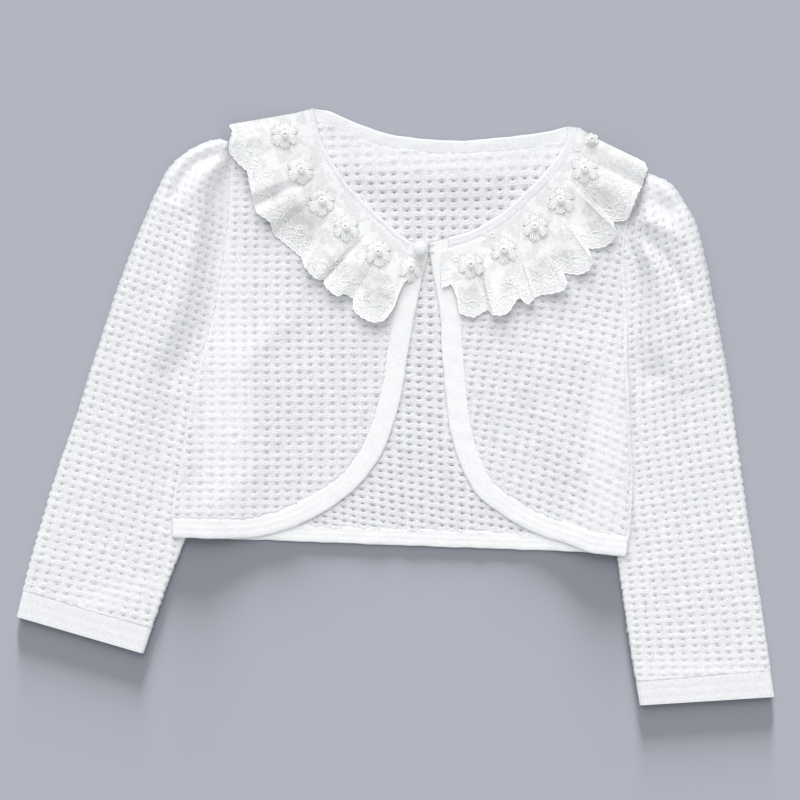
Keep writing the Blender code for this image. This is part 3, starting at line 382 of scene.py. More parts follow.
class Line:
    """A smooth line on the floor plan, read by its share of length."""

    def __init__(self, spots: Sequence, steps: int = 12) -> None:
        """Round a line through spots, or take it as it is with a single step.

        Args:
            spots: Points that the line passes through.
            steps: Pieces between two points.
        """
        count = (len(spots) - 1) * steps + 1
        self.path = spline(spots, np.linspace(0, len(spots) - 1, count))
        self.reach = reached(self.path)

    @property
    def length(self) -> float:
        """Length of the line in millimetres."""
        return float(self.reach[-1])

    def at(self, shares: np.ndarray) -> np.ndarray:
        """Find points of the line."""
        where = np.asarray(shares, dtype=float) * self.reach[-1]
        return np.stack([np.interp(where, self.reach, self.path[:, axis]) for axis in (0, 1)], axis=-1)

    def beside(self, shares: np.ndarray, distance: np.ndarray | float) -> np.ndarray:
        """Find points moved to the left of the line's direction.

        Args:
            shares: Shares of the length.
            distance: How far they are moved.

        Returns:
            The moved points.
        """
        step = 0.01
        shares = np.asarray(shares)
        along = self.at(np.clip(shares + step, 0, 1)) - self.at(np.clip(shares - step, 0, 1))
        return self.at(shares) + np.asarray(distance)[..., None] * leftward(unit(along))

    def longer(self, before: float, after: float) -> "Line":
        """Carry the line straight on past its ends.

        Args:
            before: Length added before the start.
            after: Length added past the end.

        Returns:
            The longer line.
        """
        first = self.path[0] - self.path[1]
        last = self.path[-1] - self.path[-2]
        start = self.path[0] + before * first / np.linalg.norm(first)
        end = self.path[-1] + after * last / np.linalg.norm(last)
        return Line(np.vstack([start, self.path, end]), steps=1)

    def share_at_level(self, level: float) -> float:
        """Find where a falling line reaches a level."""
        return float(np.interp(-level, -self.path[:, 1], self.reach) / self.reach[-1])


def crossing(first: Line, first_side: float, second: Line, second_side: float) -> tuple[float, float]:
    """Find where two lines cross, each taken at a distance to its left.

    Args:
        first: One line.
        first_side: Its distance to the left.
        second: The other line.
        second_side: Its distance to the left.

    Returns:
        The share of each line at the crossing.
    """
    pieces = 300
    shares = np.linspace(0, 1, pieces + 1)
    one = first.beside(shares, first_side)
    two = second.beside(shares, second_side)
    step = np.diff(one, axis=0)[:, None]
    turn = np.diff(two, axis=0)[None]
    apart = two[None, :-1] - one[:-1, None]
    area = spanned(step, turn)
    area = np.where(np.abs(area) < TINY, TINY, area)
    along_one = spanned(apart, turn) / area
    along_two = spanned(apart, step) / area
    inside = (along_one >= 0) & (along_one <= 1) & (along_two >= 0) & (along_two <= 1)
    row, column = np.argwhere(inside)[0]
    return (row + along_one[row, column]) / pieces, (column + along_two[row, column]) / pieces


def length_shares(points: np.ndarray) -> np.ndarray:
    """Measure shares of length along a bent line."""
    reach = reached(points)
    return reach / reach[-1]


def patch(top: np.ndarray, bottom: np.ndarray, left: np.ndarray, right: np.ndarray) -> np.ndarray:
    """Fill four edges with a grid of points; top and bottom run the same way, and so do left and right.

    Args:
        top: Points of the top edge.
        bottom: As many points of the bottom edge.
        left: Points of the left edge.
        right: As many points of the right edge.

    Returns:
        The grid, a row of points for each point of the left edge.
    """
    side = 0.5 * (length_shares(top) + length_shares(bottom))[None, :, None]
    fall = 0.5 * (length_shares(left) + length_shares(right))[:, None, None]
    rows = (1 - fall) * top[None] + fall * bottom[None]
    columns = (1 - side) * left[:, None] + side * right[:, None]
    corners = (1 - fall) * ((1 - side) * top[0] + side * top[-1])
    corners = corners + fall * ((1 - side) * bottom[0] + side * bottom[-1])
    return rows + columns - corners


def folds_height(folds: Sequence[Fold], plan: np.ndarray) -> np.ndarray:
    """Add up the heights of several folds.

    Args:
        folds: The folds.
        plan: Points of the plan.

    Returns:
        The height that the folds add at each point.
    """
    total = np.zeros(plan.shape[:-1])
    steps = np.linspace(0, 1, 25)
    for fold in folds:
        path = spline((fold[0:2], fold[2:4], fold[4:6]), steps * 2)
        distance = np.linalg.norm(plan[..., None, :] - path, axis=-1)
        nearest = steps[np.argmin(distance, axis=-1)]
        taper = np.sin(np.pi * np.clip(nearest * 0.9 + 0.1, 0, 1)) ** 0.5
        total += fold.height * taper * np.exp(-((distance.min(axis=-1) / fold.width) ** 2))
    return total


def soft_waves(plan: np.ndarray, seed: int, length: float, height: float) -> np.ndarray:
    """Make the slight unevenness of cloth that lies free.

    Args:
        plan: Points of the plan.
        seed: Number that picks the waves.
        length: Usual wave length.
        height: Greatest height.

    Returns:
        A height from 0 to the greatest one at each point.
    """
    draw = np.random.default_rng(seed)
    total = np.zeros(plan.shape[:-1])
    for _ in range(7):
        turn = draw.uniform(0, 2 * math.pi)
        wave = draw.uniform(0.6, 1.5) * length
        total += np.sin((plan[..., 0] * math.cos(turn) + plan[..., 1] * math.sin(turn)) * 2 * math.pi / wave
                        + draw.uniform(0, 2 * math.pi))
    return height * (0.5 + 0.5 * np.tanh(total / 3.0))


def sleeve_lift(arm: Sequence[ArmSection], plan: np.ndarray) -> np.ndarray:
    """Find how far one sleeve lifts the body, full over its hidden part and falling away past it.

    Args:
        arm: Sections of the sleeve.
        plan: Points of the plan.

    Returns:
        The lift at each point.
    """
    outward = math.copysign(1.0, arm[0].outer_right)
    levels = [section.inner_up for section in arm]
    edges = [section.inner_right for section in arm]
    edge = np.interp(plan[..., 1], levels, edges) - outward * SLEEVE_MARGIN
    inboard = np.maximum(0.0, (edge - plan[..., 0]) * outward)
    above = np.maximum(0.0, plan[..., 1] - UNDERARM_UP - UNDERARM_MARGIN)
    return BODY_ON_SLEEVE * (1.0 - ease(np.hypot(inboard, above) / LIFT_RUN))


def collar_lift(plan: np.ndarray) -> np.ndarray:
    """Find how far the hidden back ruffle lifts the body."""
    below = np.maximum(0.0, np.interp(plan[..., 0], *np.transpose(BACK_RUFFLE_EDGE)) - COLLAR_MARGIN - plan[..., 1])
    return COLLAR_LIFT * (1.0 - ease(below / COLLAR_RUN))


def back_base(plan: np.ndarray) -> np.ndarray:
    """Find the height of the underside of the back."""
    return np.maximum.reduce([sleeve_lift(ARM_RIGHT, plan), sleeve_lift(ARM_LEFT, plan), collar_lift(plan)])


def front_base(plan: np.ndarray) -> np.ndarray:
    """Find the height of the underside of the fronts, which lie on the back."""
    return back_base(plan) + WALL + LAYER_GAP + folds_height(FRONT_FOLDS, plan)


Heights = Callable[[np.ndarray], np.ndarray]


def grid_faces(rows: int, columns: int, start: int = 0) -> list[tuple[int, ...]]:
    """Join a grid of points with quads."""
    first = (np.arange(rows - 1)[:, None] * columns + np.arange(columns - 1)[None] + start).ravel()
    return np.stack([first, first + columns, first + columns + 1, first + 1], axis=1).tolist()


def surface_normals(form: np.ndarray) -> np.ndarray:
    """Find the normals of a grid of points, turned so that its highest part faces up.

    Args:
        form: Points of the grid, in rows.

    Returns:
        A normal for each point.
    """
    across = unit(np.cross(np.gradient(form, axis=1), np.gradient(form, axis=0)))
    heights = form[..., 2]
    high = across[heights >= np.quantile(heights, 0.7)]
    return across if high[:, 2].mean() > 0 else -across


class Chart:
    """A cloth surface read by flat cloth coordinates, as if the cloth were spread out."""

    def __init__(self, flat: np.ndarray, form: np.ndarray) -> None:
        """Tie a grid of flat points to the same grid on the garment.

        Args:
            flat: Flat cloth coordinates, in rows.
            form: Points of the garment, in the same rows.
        """
        rows, columns = flat.shape[:2]
        self.flat = flat.reshape(-1, 2)
        self.form = form.reshape(-1, 3)
        self.normals = surface_normals(form).reshape(-1, 3)
        quads = np.array(grid_faces(rows, columns))
        self.corners = np.concatenate([quads[:, (0, 1, 2)], quads[:, (0, 2, 3)]])
        raised = [(right, up, 0.0) for right, up in self.flat.tolist()]
        self.tree = BVHTree.FromPolygons(raised, self.corners.tolist(), all_triangles=True)

    def find(self, spots: np.ndarray) -> np.ndarray:
        """Find the triangle under each flat spot.

        Args:
            spots: Flat cloth coordinates.

        Returns:
            Numbers of triangles, -1 past the cloth's edge.
        """
        cast = self.tree.ray_cast
        found = [cast(Vector((right, up, 1.0)), DOWN, 2.0)[2] for right, up in spots.tolist()]
        return np.array([-1 if number is None else number for number in found])

    def nearest(self, spots: np.ndarray) -> tuple[np.ndarray, np.ndarray]:
        """Move flat spots onto the cloth."""
        moved = [self.tree.find_nearest(Vector((right, up, 0.0))) for right, up in spots.tolist()]
        return np.array([tuple(hit[0].xy) for hit in moved]), np.array([hit[2] for hit in moved])

    def read(self, spots: np.ndarray, numbers: np.ndarray) -> tuple[np.ndarray, np.ndarray]:
        """Read the garment at flat spots.

        Args:
            spots: Flat cloth coordinates.
            numbers: The triangle under each.

        Returns:
            Points of the garment and their normals.
        """
        corners = self.corners[numbers]
        first, second, third = (self.flat[corners[:, index]] for index in range(3))
        one = second - first
        two = third - first
        part = spots - first
        area = spanned(one, two)
        area = np.where(np.abs(area) < TINY, TINY, area)
        share_two = spanned(part, two) / area
        share_three = spanned(one, part) / area
        shares = np.stack([1 - share_two - share_three, share_two, share_three], axis=1)[..., None]
        points = (self.form[corners] * shares).sum(axis=1)
        normals = (self.normals[corners] * shares).sum(axis=1)
        return points, unit(normals)

    def place(self, spots: np.ndarray) -> tuple[np.ndarray, np.ndarray]:
        """Read the garment at flat spots, those past the edge being moved onto it."""
        return self.read(*self.nearest(spots))

    def flat_area(self) -> float:
        """Area of the spread cloth in square metres."""
        first, second, third = (self.flat[self.corners[:, index]] for index in range(3))
        return float(np.abs(spanned(second - first, third - first)).sum() / 2 * MM * MM)

    def flat_size(self) -> tuple[float, float]:
        """Width and length of the spread cloth in metres."""
        size = np.ptp(self.flat, axis=0) * MM
        return float(size[0]), float(size[1])


class Shape:
    """Points and faces of one piece, gathered part by part."""

    def __init__(self) -> None:
        """Start empty."""
        self.points: list[np.ndarray] = []
        self.faces: list[tuple[int, ...]] = []
        self.flat: list[np.ndarray] = []
        self.tone: list[np.ndarray] = []
        self.count = 0

    def add(self, points: np.ndarray, faces: Sequence, flat: np.ndarray | None = None,
            tone: np.ndarray | None = None) -> None:
        """Add one part.

        Args:
            points: Its points, in millimetres.
            faces: Its faces, numbered from its own first point.
            flat: Cloth coordinates of its points, in millimetres.
            tone: A share from 0 to 1 at its points that mixes the shade colour towards the light one, painted shade
                where it is low; it also makes knit, thread and net sheerer where it is low.
        """
        self.points.append(points)
        self.tone.append(np.ones(len(points)) if tone is None else tone)
        self.flat.append(points[:, :2] if flat is None else flat)
        self.faces.extend(tuple(index + self.count for index in face) for face in faces)
        self.count += len(points)

    def add_turned(self, grid: np.ndarray, tone: np.ndarray | None = None) -> None:
        """Add a turned body."""
        faces = [face[::-1] for face in grid_faces(*grid.shape[:2])]
        self.add(grid.reshape(-1, 3), faces, None, None if tone is None else tone.ravel())

    def add_shell(self, upper: np.ndarray, lower: np.ndarray, flat: np.ndarray | None = None,
                  tone: np.ndarray | None = None) -> None:
        """Add a closed wall between two grids of points.

        Args:
            upper: Points of the upper side, in rows.
            lower: Points of the lower side, in the same rows.
            flat: Cloth coordinates in the same rows.
            tone: The same share of painted shade and sheerness, in the same rows.
        """
        rows, columns = upper.shape[:2]
        count = rows * columns
        faces = [tuple(face) for face in grid_faces(rows, columns)]
        faces += [tuple(index + count for index in face[::-1]) for face in faces]
        rim = [*range(columns), *range(2 * columns - 1, count, columns)]
        rim += [*range(count - 2, count - columns - 1, -1), *range(count - 2 * columns, 0, -columns)]
        for first, second in zip(rim, rim[1:] + rim[:1]):
            faces.append((second, first, first + count, second + count))
        both = None if flat is None else np.concatenate([flat.reshape(-1, 2)] * 2)
        self.add(np.concatenate([upper.reshape(-1, 3), lower.reshape(-1, 3)]), faces, both,
                 None if tone is None else np.tile(tone.ravel(), 2))

    def add_tubes(self, paths: np.ndarray, normals: np.ndarray, radius: np.ndarray | float, sides: int = 5,
                  closed: bool = False, flatness: float = 1.0, tone: float = 1.0) -> None:
        """Add threads of one length along many paths.

        Args:
            paths: Points of each path, one path for each row.
            normals: Normals of the cloth under them.
            radius: Radius of the thread, or one for each point.
            sides: Sides of its section.
            closed: Whether each path closes on itself.
            flatness: Height of the section against its width.
            tone: The thread's share of painted shade and sheerness.
        """
        count, length = paths.shape[:2]
        if closed:
            along = np.roll(paths, -1, axis=1) - np.roll(paths, 1, axis=1)
        else:
            along = np.gradient(paths, axis=1)
        along = unit(along)
        side = unit(np.cross(along, normals))
        rise = np.cross(side, along)
        turns = np.arange(sides) * 2 * math.pi / sides + math.pi / sides
        thick = np.broadcast_to(np.asarray(radius, dtype=float), (count, length))[..., None, None]
        ring = side[:, :, None] * np.cos(turns)[:, None] + flatness * rise[:, :, None] * np.sin(turns)[:, None]
        points = paths[:, :, None] + thick * ring
        steps = length if closed else length - 1
        path = np.arange(count)[:, None, None] * length * sides
        row = np.arange(steps)[None, :, None] * sides
        after = (np.arange(steps) + 1) % length * sides
        corner = np.arange(sides)[None, None]
        beside = (corner + 1) % sides
        quads = np.stack([
            path + row + corner,
            path + row + beside,
            path + after[None, :, None] + beside,
            path + after[None, :, None] + corner,
        ], axis=-1).reshape(-1, 4).tolist()
        if not closed:
            for number in range(count):
                first = number * length * sides
                quads.append(tuple(range(first + sides - 1, first - 1, -1)))
                quads.append(tuple(range(first + (length - 1) * sides, first + length * sides)))
        self.add(points.reshape(-1, 3), quads, None, np.full(points.shape[:-1], tone).ravel())

    def build(self, name: str, dress: bpy.types.Material, slot: str, node: str | None = None) -> bpy.types.Object:
        """Make the piece.

        Args:
            name: Its name.
            dress: Its material.
            slot: Not used.
            node: The solid that it stands for, if there is one.

        Returns:
            The piece, riding on the body.
        """
        points = np.concatenate(self.points) * MM
        mesh = bpy.data.meshes.new(name)
        mesh.from_pydata(points.tolist(), [], self.faces)
        mesh.shade_smooth()
        cloth = mesh.uv_layers.new(name="cloth")
        corners = np.empty(len(mesh.loops), dtype=np.int32)
        mesh.loops.foreach_get("vertex_index", corners)
        cloth.data.foreach_set("uv", (np.concatenate(self.flat)[corners] * MM * 10).astype(np.float32).ravel())
        fill_and_shade_tone = mesh.attributes.new("tone", "FLOAT", "POINT")
        fill_and_shade_tone.data.foreach_set("value", np.concatenate(self.tone).astype(np.float32))
        mesh.materials.append(dress)
        mesh.update()
        piece = bpy.data.objects.new(name, mesh)
        bpy.context.scene.collection.objects.link(piece)
        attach(piece, BODY)
        if node:
            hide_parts(node)
        LOG.info("%s: %d faces", name, len(mesh.polygons))
        return piece


@dataclass(frozen=True)
class Stitch:
    """Shape of one cell of the openwork: a hole above a curved bar, between two ribs."""

    across: tuple[float, ...] = (0.0, 0.17, 0.33, 0.5, 0.67, 0.83)
    up: tuple[float, ...] = (0.0, 0.14, 0.28, 0.42, 0.56, 0.80)
    bend: tuple[float, ...] = (0.16, 0.12, 0.04, 0.0, 0.04, 0.12)
    bent: tuple[float, ...] = (0.3, 0.8, 0.9, 1.0, 1.0, -0.2)
    relief: tuple[tuple[float, ...], ...] = (
        (0.32, 0.22, 0.14, 0.12, 0.14, 0.22),
        (0.36, 0.52, 0.74, 0.78, 0.74, 0.52),
        (0.35, 0.34, 0.34, 0.34, 0.34, 0.34),
        (0.35, 0.40, 0.60, 0.64, 0.60, 0.40),
        (0.33, 0.20, 0.10, 0.06, 0.10, 0.20),
        (0.32, 0.20, 0.12, 0.08, 0.12, 0.20),
    )
    # The tone table paints light and shade by the relief: painted shade at the hole's rims and in the ground, painted
    # highlight on the crests of the two bars.
    tone: tuple[tuple[float, ...], ...] = (
        (0.60, 0.48, 0.40, 0.38, 0.40, 0.48),
        (0.55, 0.85, 1.00, 1.00, 1.00, 0.85),
        (0.58, 0.48, 0.38, 0.36, 0.38, 0.48),
        (0.56, 0.66, 0.95, 1.00, 0.95, 0.66),
        (0.64, 0.42, 0.22, 0.12, 0.22, 0.42),
        (0.66, 0.44, 0.22, 0.12, 0.22, 0.44),
    )
    hole_row: int = 4
    hole_columns: tuple[int, int] = (2, 4)
    wall: float = 0.45
    narrowing: float = 0.40
    jitter: float = 0.20
    unevenness: float = 0.26
    fuzz: float = 0.09
    # lightness fades the cells' painted shade towards the even tone of closed knit and lightens the painted shade in
    # the holes' walls.
    lightness: float = 0.0


@dataclass(frozen=True)
class Grain:
    """How the knit lies on a panel: the size of its cells, the turn and the pull of its rows and its seed.

    The spreads widen the cells and heighten them, the lean slopes the rows against the columns, each per 100 mm up,
    and the arch bows the rows down to both sides.
    """

    pitch_across: float
    pitch_up: float
    turn: float
    seed: int
    spread: float = 0.0
    spread_up: float = 0.0
    lean: float = 0.0
    lean_up: float = 0.0
    arch: float = 0.0

    def pull(self, flat: np.ndarray, middle: np.ndarray) -> np.ndarray:
        """Pull the even cells to how they lie.

        Args:
            flat: Points of the even knit.
            middle: The point that stays.

        Returns:
            The pulled points.
        """
        right, rise = flat[..., 0] - middle[0], flat[..., 1] - middle[1]
        right = right * (1 + self.spread * rise / 100)
        up = rise * (1 + self.spread_up * rise / 200) + right * (self.lean + self.lean_up * rise / 100)
        return np.stack([middle[0] + right, middle[1] + up - self.arch * right ** 2 / 200], axis=-1)


def turned(plan: np.ndarray, turn: float) -> np.ndarray:
    """Turn points of the plan so that a direction that rises by an angle lies level.

    Args:
        plan: Points.
        turn: The angle in degrees.

    Returns:
        The turned points.
    """
    angle = math.radians(turn)
    right = plan[..., 0] * math.cos(angle) + plan[..., 1] * math.sin(angle)
    up = -plan[..., 0] * math.sin(angle) + plan[..., 1] * math.cos(angle)
    return np.stack([right, up], axis=-1)


# Where the knit is drawn together and shows hardly any holes: right, up, half width, half height, turn, strength.
CLOSED: tuple[tuple[float, ...], ...] = (
    (-106.3, 69.5, 11.1, 39.0, 0.0, 0.7), (-110.2, -8.5, 16.9, 61.8, -4.0, 0.95),
    (-118.0, -63.7, 26.0, 14.3, 0.0, 0.7), (136.8, -31.2, 13.0, 55.2, 0.0, 0.9),
    (126.4, -73.5, 26.0, 11.7, 20.0, 0.6), (-128.0, 158.0, 34.0, 13.0, 36.0, 1.0),
    (-110.8, 141.0, 10.4, 22.1, 0.0, 0.6), (173.0, 142.0, 28.0, 15.0, -48.0, 1.0),
    (197.9, 102.0, 7.8, 26.0, 15.0, 0.4), (-199.9, -127.4, 48.8, 9.1, 17.0, 0.9),
    (201.2, -172.3, 48.8, 8.5, -4.0, 0.9), (-10.1, 69.5, 6.5, 39.0, 15.0, 0.4),
    (35.0, 166.0, 80.0, 14.0, 0.0, 1.0), (-86.8, 69.5, 14.3, 26.0, 0.0, 0.3),
)
# Where the collar's hollows lie in shade, painted darker as painted shade, the net there also a little sheerer: right,
# up, half width, half height, turn, strength.
HOLLOWS: tuple[tuple[float, ...], ...] = (
    (-64.0, 115.0, 16.2, 15.6, 40.0, 0.95), (-38.7, 91.0, 7.8, 5.9, 40.0, 0.8),
    (-80.3, 137.8, 13.0, 5.9, -15.0, 0.6), (-11.4, 69.5, 11.7, 9.8, 0.0, 0.75),
    (-15.0, 80.0, 17.0, 9.0, -10.0, 0.5), (-62.1, 160.5, 10.4, 11.7, 0.0, 0.3),
    (136.8, 126.7, 13.0, 19.5, 35.0, 0.7), (106.9, 94.2, 9.1, 7.8, 40.0, 0.6), (49.7, 69.5, 8.5, 7.8, 0.0, 0.7),
    (73.1, 74.1, 5.2, 7.8, 0.0, 0.5), (92.6, 87.7, 5.2, 9.1, -25.0, 0.5),
)


def patches_at(plan: np.ndarray, patches: Sequence[Sequence[float]]) -> np.ndarray:
    """Find how strongly points lie in soft-edged patches.

    Args:
        plan: Points.
        patches: The patches.

    Returns:
        A share from 0 to 1 for each point.
    """
    share = np.zeros(plan.shape[:-1])
    for right, up, wide, high, turn, strength in patches:
        away = turned(plan[..., :2] - (right, up), turn) / (wide, high)
        share = np.maximum(share, strength * np.exp(-((away ** 2).sum(axis=-1) ** 2) * 0.7))
    return share


def add_knit(shape: Shape, chart: Chart, grain: Grain, stitch: Stitch, plain: Line | None = None,
             plain_reach: float = 0.0) -> int:
    """Knit a cloth over a chart, with real holes.

    Args:
        shape: The piece that takes the knit.
        chart: The cloth surface.
        grain: How the knit lies on it.
        stitch: The shape of a cell.
        plain: A line beside which the knit is plain.
        plain_reach: How far from that line it is plain.

    Returns:
        How many holes it has.
    """
    draw = np.random.default_rng(grain.seed)
    middle = 0.5 * (chart.flat.min(axis=0) + chart.flat.max(axis=0))
    wide, tall = 0.5 * np.ptp(chart.flat, axis=0) + 1.0
    tall = tall / (1 - abs(grain.spread_up) * tall / 200) + wide * (abs(grain.lean) + abs(grain.lean_up) * tall / 100)
    wide, tall = wide / (1 - abs(grain.spread) * tall / 100), tall + abs(grain.arch) * wide ** 2 / 200
    low, high = middle - (wide, tall), middle + (wide, tall)
    pitch = np.array((grain.pitch_across, grain.pitch_up))
    cells = np.ceil((high - low) / pitch).astype(int) + 1
    columns, rows = cells * CELL
    column = np.arange(columns)
    row = np.arange(rows)
    i, j = column % CELL, row % CELL
    cell_column, cell_row = column // CELL, row // CELL
    across = cell_column + np.array(stitch.across)[i]
    bend = np.array(stitch.bent)[j][:, None] * np.array(stitch.bend)[i][None]
    up = (cell_row + np.array(stitch.up)[j])[:, None] + bend
    shift = draw.normal(0, stitch.jitter, (cells[1], cells[0], 2))[cell_row][:, cell_column]
    flat = np.stack([np.broadcast_to(across[None] * pitch[0], up.shape), up * pitch[1]], axis=-1)
    flat = low + flat + np.clip(shift, -0.5, 0.5) + draw.normal(0, stitch.fuzz, flat.shape)
    waves = np.sin(flat[..., ::-1] / (31, 37) + grain.seed) * 0.7
    flat = grain.pull(flat + waves, middle)
    strength = 1 + draw.normal(0, stitch.unevenness, (cells[1], cells[0]))[cell_row][:, cell_column]
    relief = np.array(stitch.relief)[j][:, i] * np.clip(strength, 0.5, 1.5)
    # Each point takes the painted shade and highlight of its cell from the tone table, varied at random from cell to
    # cell and point to point.
    tone = np.array(stitch.tone)[j][:, i] * (0.7 + 0.3 * strength)
    tone = np.clip(tone + (FULL_TONE - tone) * stitch.lightness + draw.normal(0, 0.07, tone.shape), 0, 1)
    spots = flat.reshape(-1, 2)
    numbers = chart.find(spots)
    inside = (numbers >= 0).reshape(rows, columns)
    corner = np.stack([inside[:-1, :-1], inside[:-1, 1:], inside[1:, 1:], inside[1:, :-1]])
    kept = corner.sum(axis=0) >= 2
    left, right = stitch.hole_columns
    inside_hole = inside
    if plain is not None:
        near = np.linalg.norm(spots[:, None] - plain.at(np.linspace(0, 1, 60))[None], axis=-1).min(axis=1)
        inside_hole = inside & (near.reshape(rows, columns) > plain_reach)
    cell_inside = np.ones((cells[1] - 1, cells[0] - 1), dtype=bool)
    for step_row in (stitch.hole_row, stitch.hole_row + 1):
        for step_column in range(left, right + 1):
            cell_inside &= inside_hole[step_row::CELL, step_column::CELL][:cells[1] - 1, :cells[0] - 1]
    hole_rows, hole_columns = np.nonzero(cell_inside)
    hole_rows, hole_columns = hole_rows * CELL, hole_columns * CELL
    for step in range(left, right):
        kept[hole_rows + stitch.hole_row, hole_columns + step] = False
    first = (np.arange(rows - 1)[:, None] * columns + np.arange(columns - 1)[None])[kept]
    quads = np.stack([first, first + 1, first + columns + 1, first + columns], axis=1)
    base = hole_rows * columns + hole_columns
    lower = [base + stitch.hole_row * columns + step for step in range(left, right + 1)]
    upper = [base + (stitch.hole_row + 1) * columns + step for step in range(right, left - 1, -1)]
    rim = np.stack(lower + upper, axis=1)
    used, numbering = np.unique(np.concatenate([quads.ravel(), rim.ravel()]), return_inverse=True)
    quads_used = numbering[:quads.size].reshape(-1, 4)
    rim_used = numbering[quads.size:].reshape(rim.shape)
    spots = spots[used]
    hits = numbers[used]
    out = hits < 0
    spots[out], hits[out] = chart.nearest(spots[out])
    points, normals = chart.read(spots, hits)
    raised = np.where(out, -0.7, relief.ravel()[used])[:, None]
    points = points + normals * raised
    rims = points[rim_used]
    centre = rims.mean(axis=1, keepdims=True)
    drawn = patches_at(centre, CLOSED) * (normals[rim_used][:, :1, 2] > 0)
    narrow = stitch.narrowing * (1 - 0.85 * drawn)[..., None]
    deep = centre + (rims - centre) * narrow - normals[rim_used] * stitch.wall * (1 - 0.6 * drawn)[..., None]
    points[:, 2] = np.maximum(points[:, 2], FLOOR_GAP)
    deep[..., 2] = np.maximum(deep[..., 2], FLOOR_GAP)
    count = len(points)
    walls = np.arange(rim_used.size).reshape(rim_used.shape) + count
    faces = np.concatenate([
        quads_used,
        np.stack([rim_used, np.roll(rim_used, -1, axis=1), np.roll(walls, -1, axis=1), walls], axis=-1).reshape(-1, 4),
    ])
    fill_and_shade_tone = tone.ravel()[used]
    # Where the knit is drawn together, the cells' painted shade fades towards the even tone of closed knit.
    fill_and_shade_tone = fill_and_shade_tone + (FULL_TONE - fill_and_shade_tone) * 0.75 * patches_at(points, CLOSED) * (normals[:, 2] > 0)
    # The holes' walls take a darker tone: painted shade inside the holes.
    shape.add(
        np.concatenate([points, deep.reshape(-1, 3)]),
        faces.tolist(),
        np.concatenate([spots, spots[rim_used].reshape(-1, 2)]),
        np.concatenate([fill_and_shade_tone, (fill_and_shade_tone[rim_used] * (0.6 + 0.35 * stitch.lightness)).ravel()]),
    )
    return len(rim)


LINES = {name: Line(spots) for name, spots in OUTLINE.items()}


class Side(Enum):
    """The wearer's side, with the direction in which it lies on the plan."""

    RIGHT = -1.0
    LEFT = 1.0

    @property
    def word(self) -> str:
        """The side's name in lower case."""
        return self.name.lower()


def outline_down(side: Side, level: float, steps: int) -> np.ndarray:
    """Points down the outer edge of the body, from the shoulder past the underarm to a level.

    Args:
        side: The side of the body.
        level: Where the line stops.
        steps: Points on each part.

    Returns:
        The points.
    """
    armhole = LINES["armhole_" + side.word].at(np.linspace(1, 0, steps))
    seam = LINES["side_" + side.word]
    return np.vstack([armhole, seam.at(np.linspace(0, seam.share_at_level(level), steps))[1:]])


def even(points: np.ndarray, count: int) -> np.ndarray:
    """Space points evenly along a bent line."""
    where, shares = np.linspace(0, 1, count), length_shares(points)
    return np.stack([np.interp(where, shares, column) for column in points.T], axis=1)


@dataclass
class Band:
    """A strip of jersey with rounded edges, laid along an edge of the body."""

    name: str
    node: str
    outer: np.ndarray
    inner: np.ndarray
    base: Heights
    thick: float = JERSEY_THICK
    round_over: float = 1.1
    crown: float = 0.25
    seed: int = 1
    edge_roll: float = 0.0
    grooves: tuple[float, float] = (0.20, 0.20)
    fade: float = 0.0
    sink: float = 0.0
    sink_from: float = 2.4
    sink_over: float = 2.0
    tone: float = 1.0

    def build(self, dress: bpy.types.Material) -> None:
        """Make the strip.

        Args:
            dress: Its material.
        """
        width = float(np.linalg.norm(self.inner - self.outer, axis=1).mean())
        level = width - 2 * self.round_over
        profile = [(0.0, 0.0)]
        for angle in np.linspace(0, math.pi / 2, 5):
            profile.append((self.round_over * (1 - math.cos(angle)), self.thick * math.sin(angle)))
        for share in np.linspace(0, 1, 13)[1:-1]:
            profile.append((self.round_over + share * level, self.thick + self.crown * math.sin(math.pi * share)))
        for angle in np.linspace(math.pi / 2, 0, 5):
            profile.append((width - self.round_over * (1 - math.cos(angle)), self.thick * math.sin(angle)))
        profile.append((width, 0.0))
        distance, rise = np.array(profile).T
        shares = distance / width
        plan = self.outer[:, None] + shares[None, :, None] * (self.inner - self.outer)[:, None]
        lengths = length_shares(self.outer)
        along = lengths * float(np.linalg.norm(np.diff(self.outer, axis=0), axis=1).sum())
        draw = np.random.default_rng(self.seed)
        wobble = sum(np.sin(along / wave + draw.uniform(0, 6)) for wave in (2.3, 4.1, 7.3)) * 0.09
        plan = plan + ((1 - shares)[None, :, None] ** 2) * (wobble[:, None] * unit(self.outer - self.inner))[:, None]
        puff = soft_waves(plan, self.seed, 14.0, 0.35) + soft_waves(plan, self.seed + 7, 2.6, 0.16)
        roll = self.edge_roll * np.exp(-((distance - 1.6) / 1.3) ** 2)[None]
        part = np.clip(rise / self.thick, 0, 1)[None]
        depth = self.grooves[0] + (self.grooves[1] - self.grooves[0]) * ease(lengths * 2.5 - 1.1)
        ribs = (np.cos(3 * math.pi * (distance - self.round_over) / level) ** 2) ** 3
        low = 1 - self.fade * ease(lengths * 14 - 12.8)
        sunk = self.sink * ease((distance - self.sink_from) / self.sink_over)[None]
        relief = (puff - sunk + roll - depth[:, None] * ribs[None]) * part
        base = self.base(plan)
        grid = at_height(plan, base + low[:, None] * rise[None] + relief)
        floor = at_height(plan, base)
        flat = spread(along, distance, base.shape)
        shape = Shape()
        upward = np.cross(grid[1, 4] - grid[0, 4], grid[0, 9] - grid[0, 4])[2] < 0
        order = slice(None, None, -1 if upward else 1)
        shape.add_shell(grid[order, 1:-1], floor[order, 1:-1], flat[order, 1:-1],
                        np.full((len(grid), len(profile) - 2), self.tone))
        piece = shape.build(self.name, dress, "jersey", self.node)


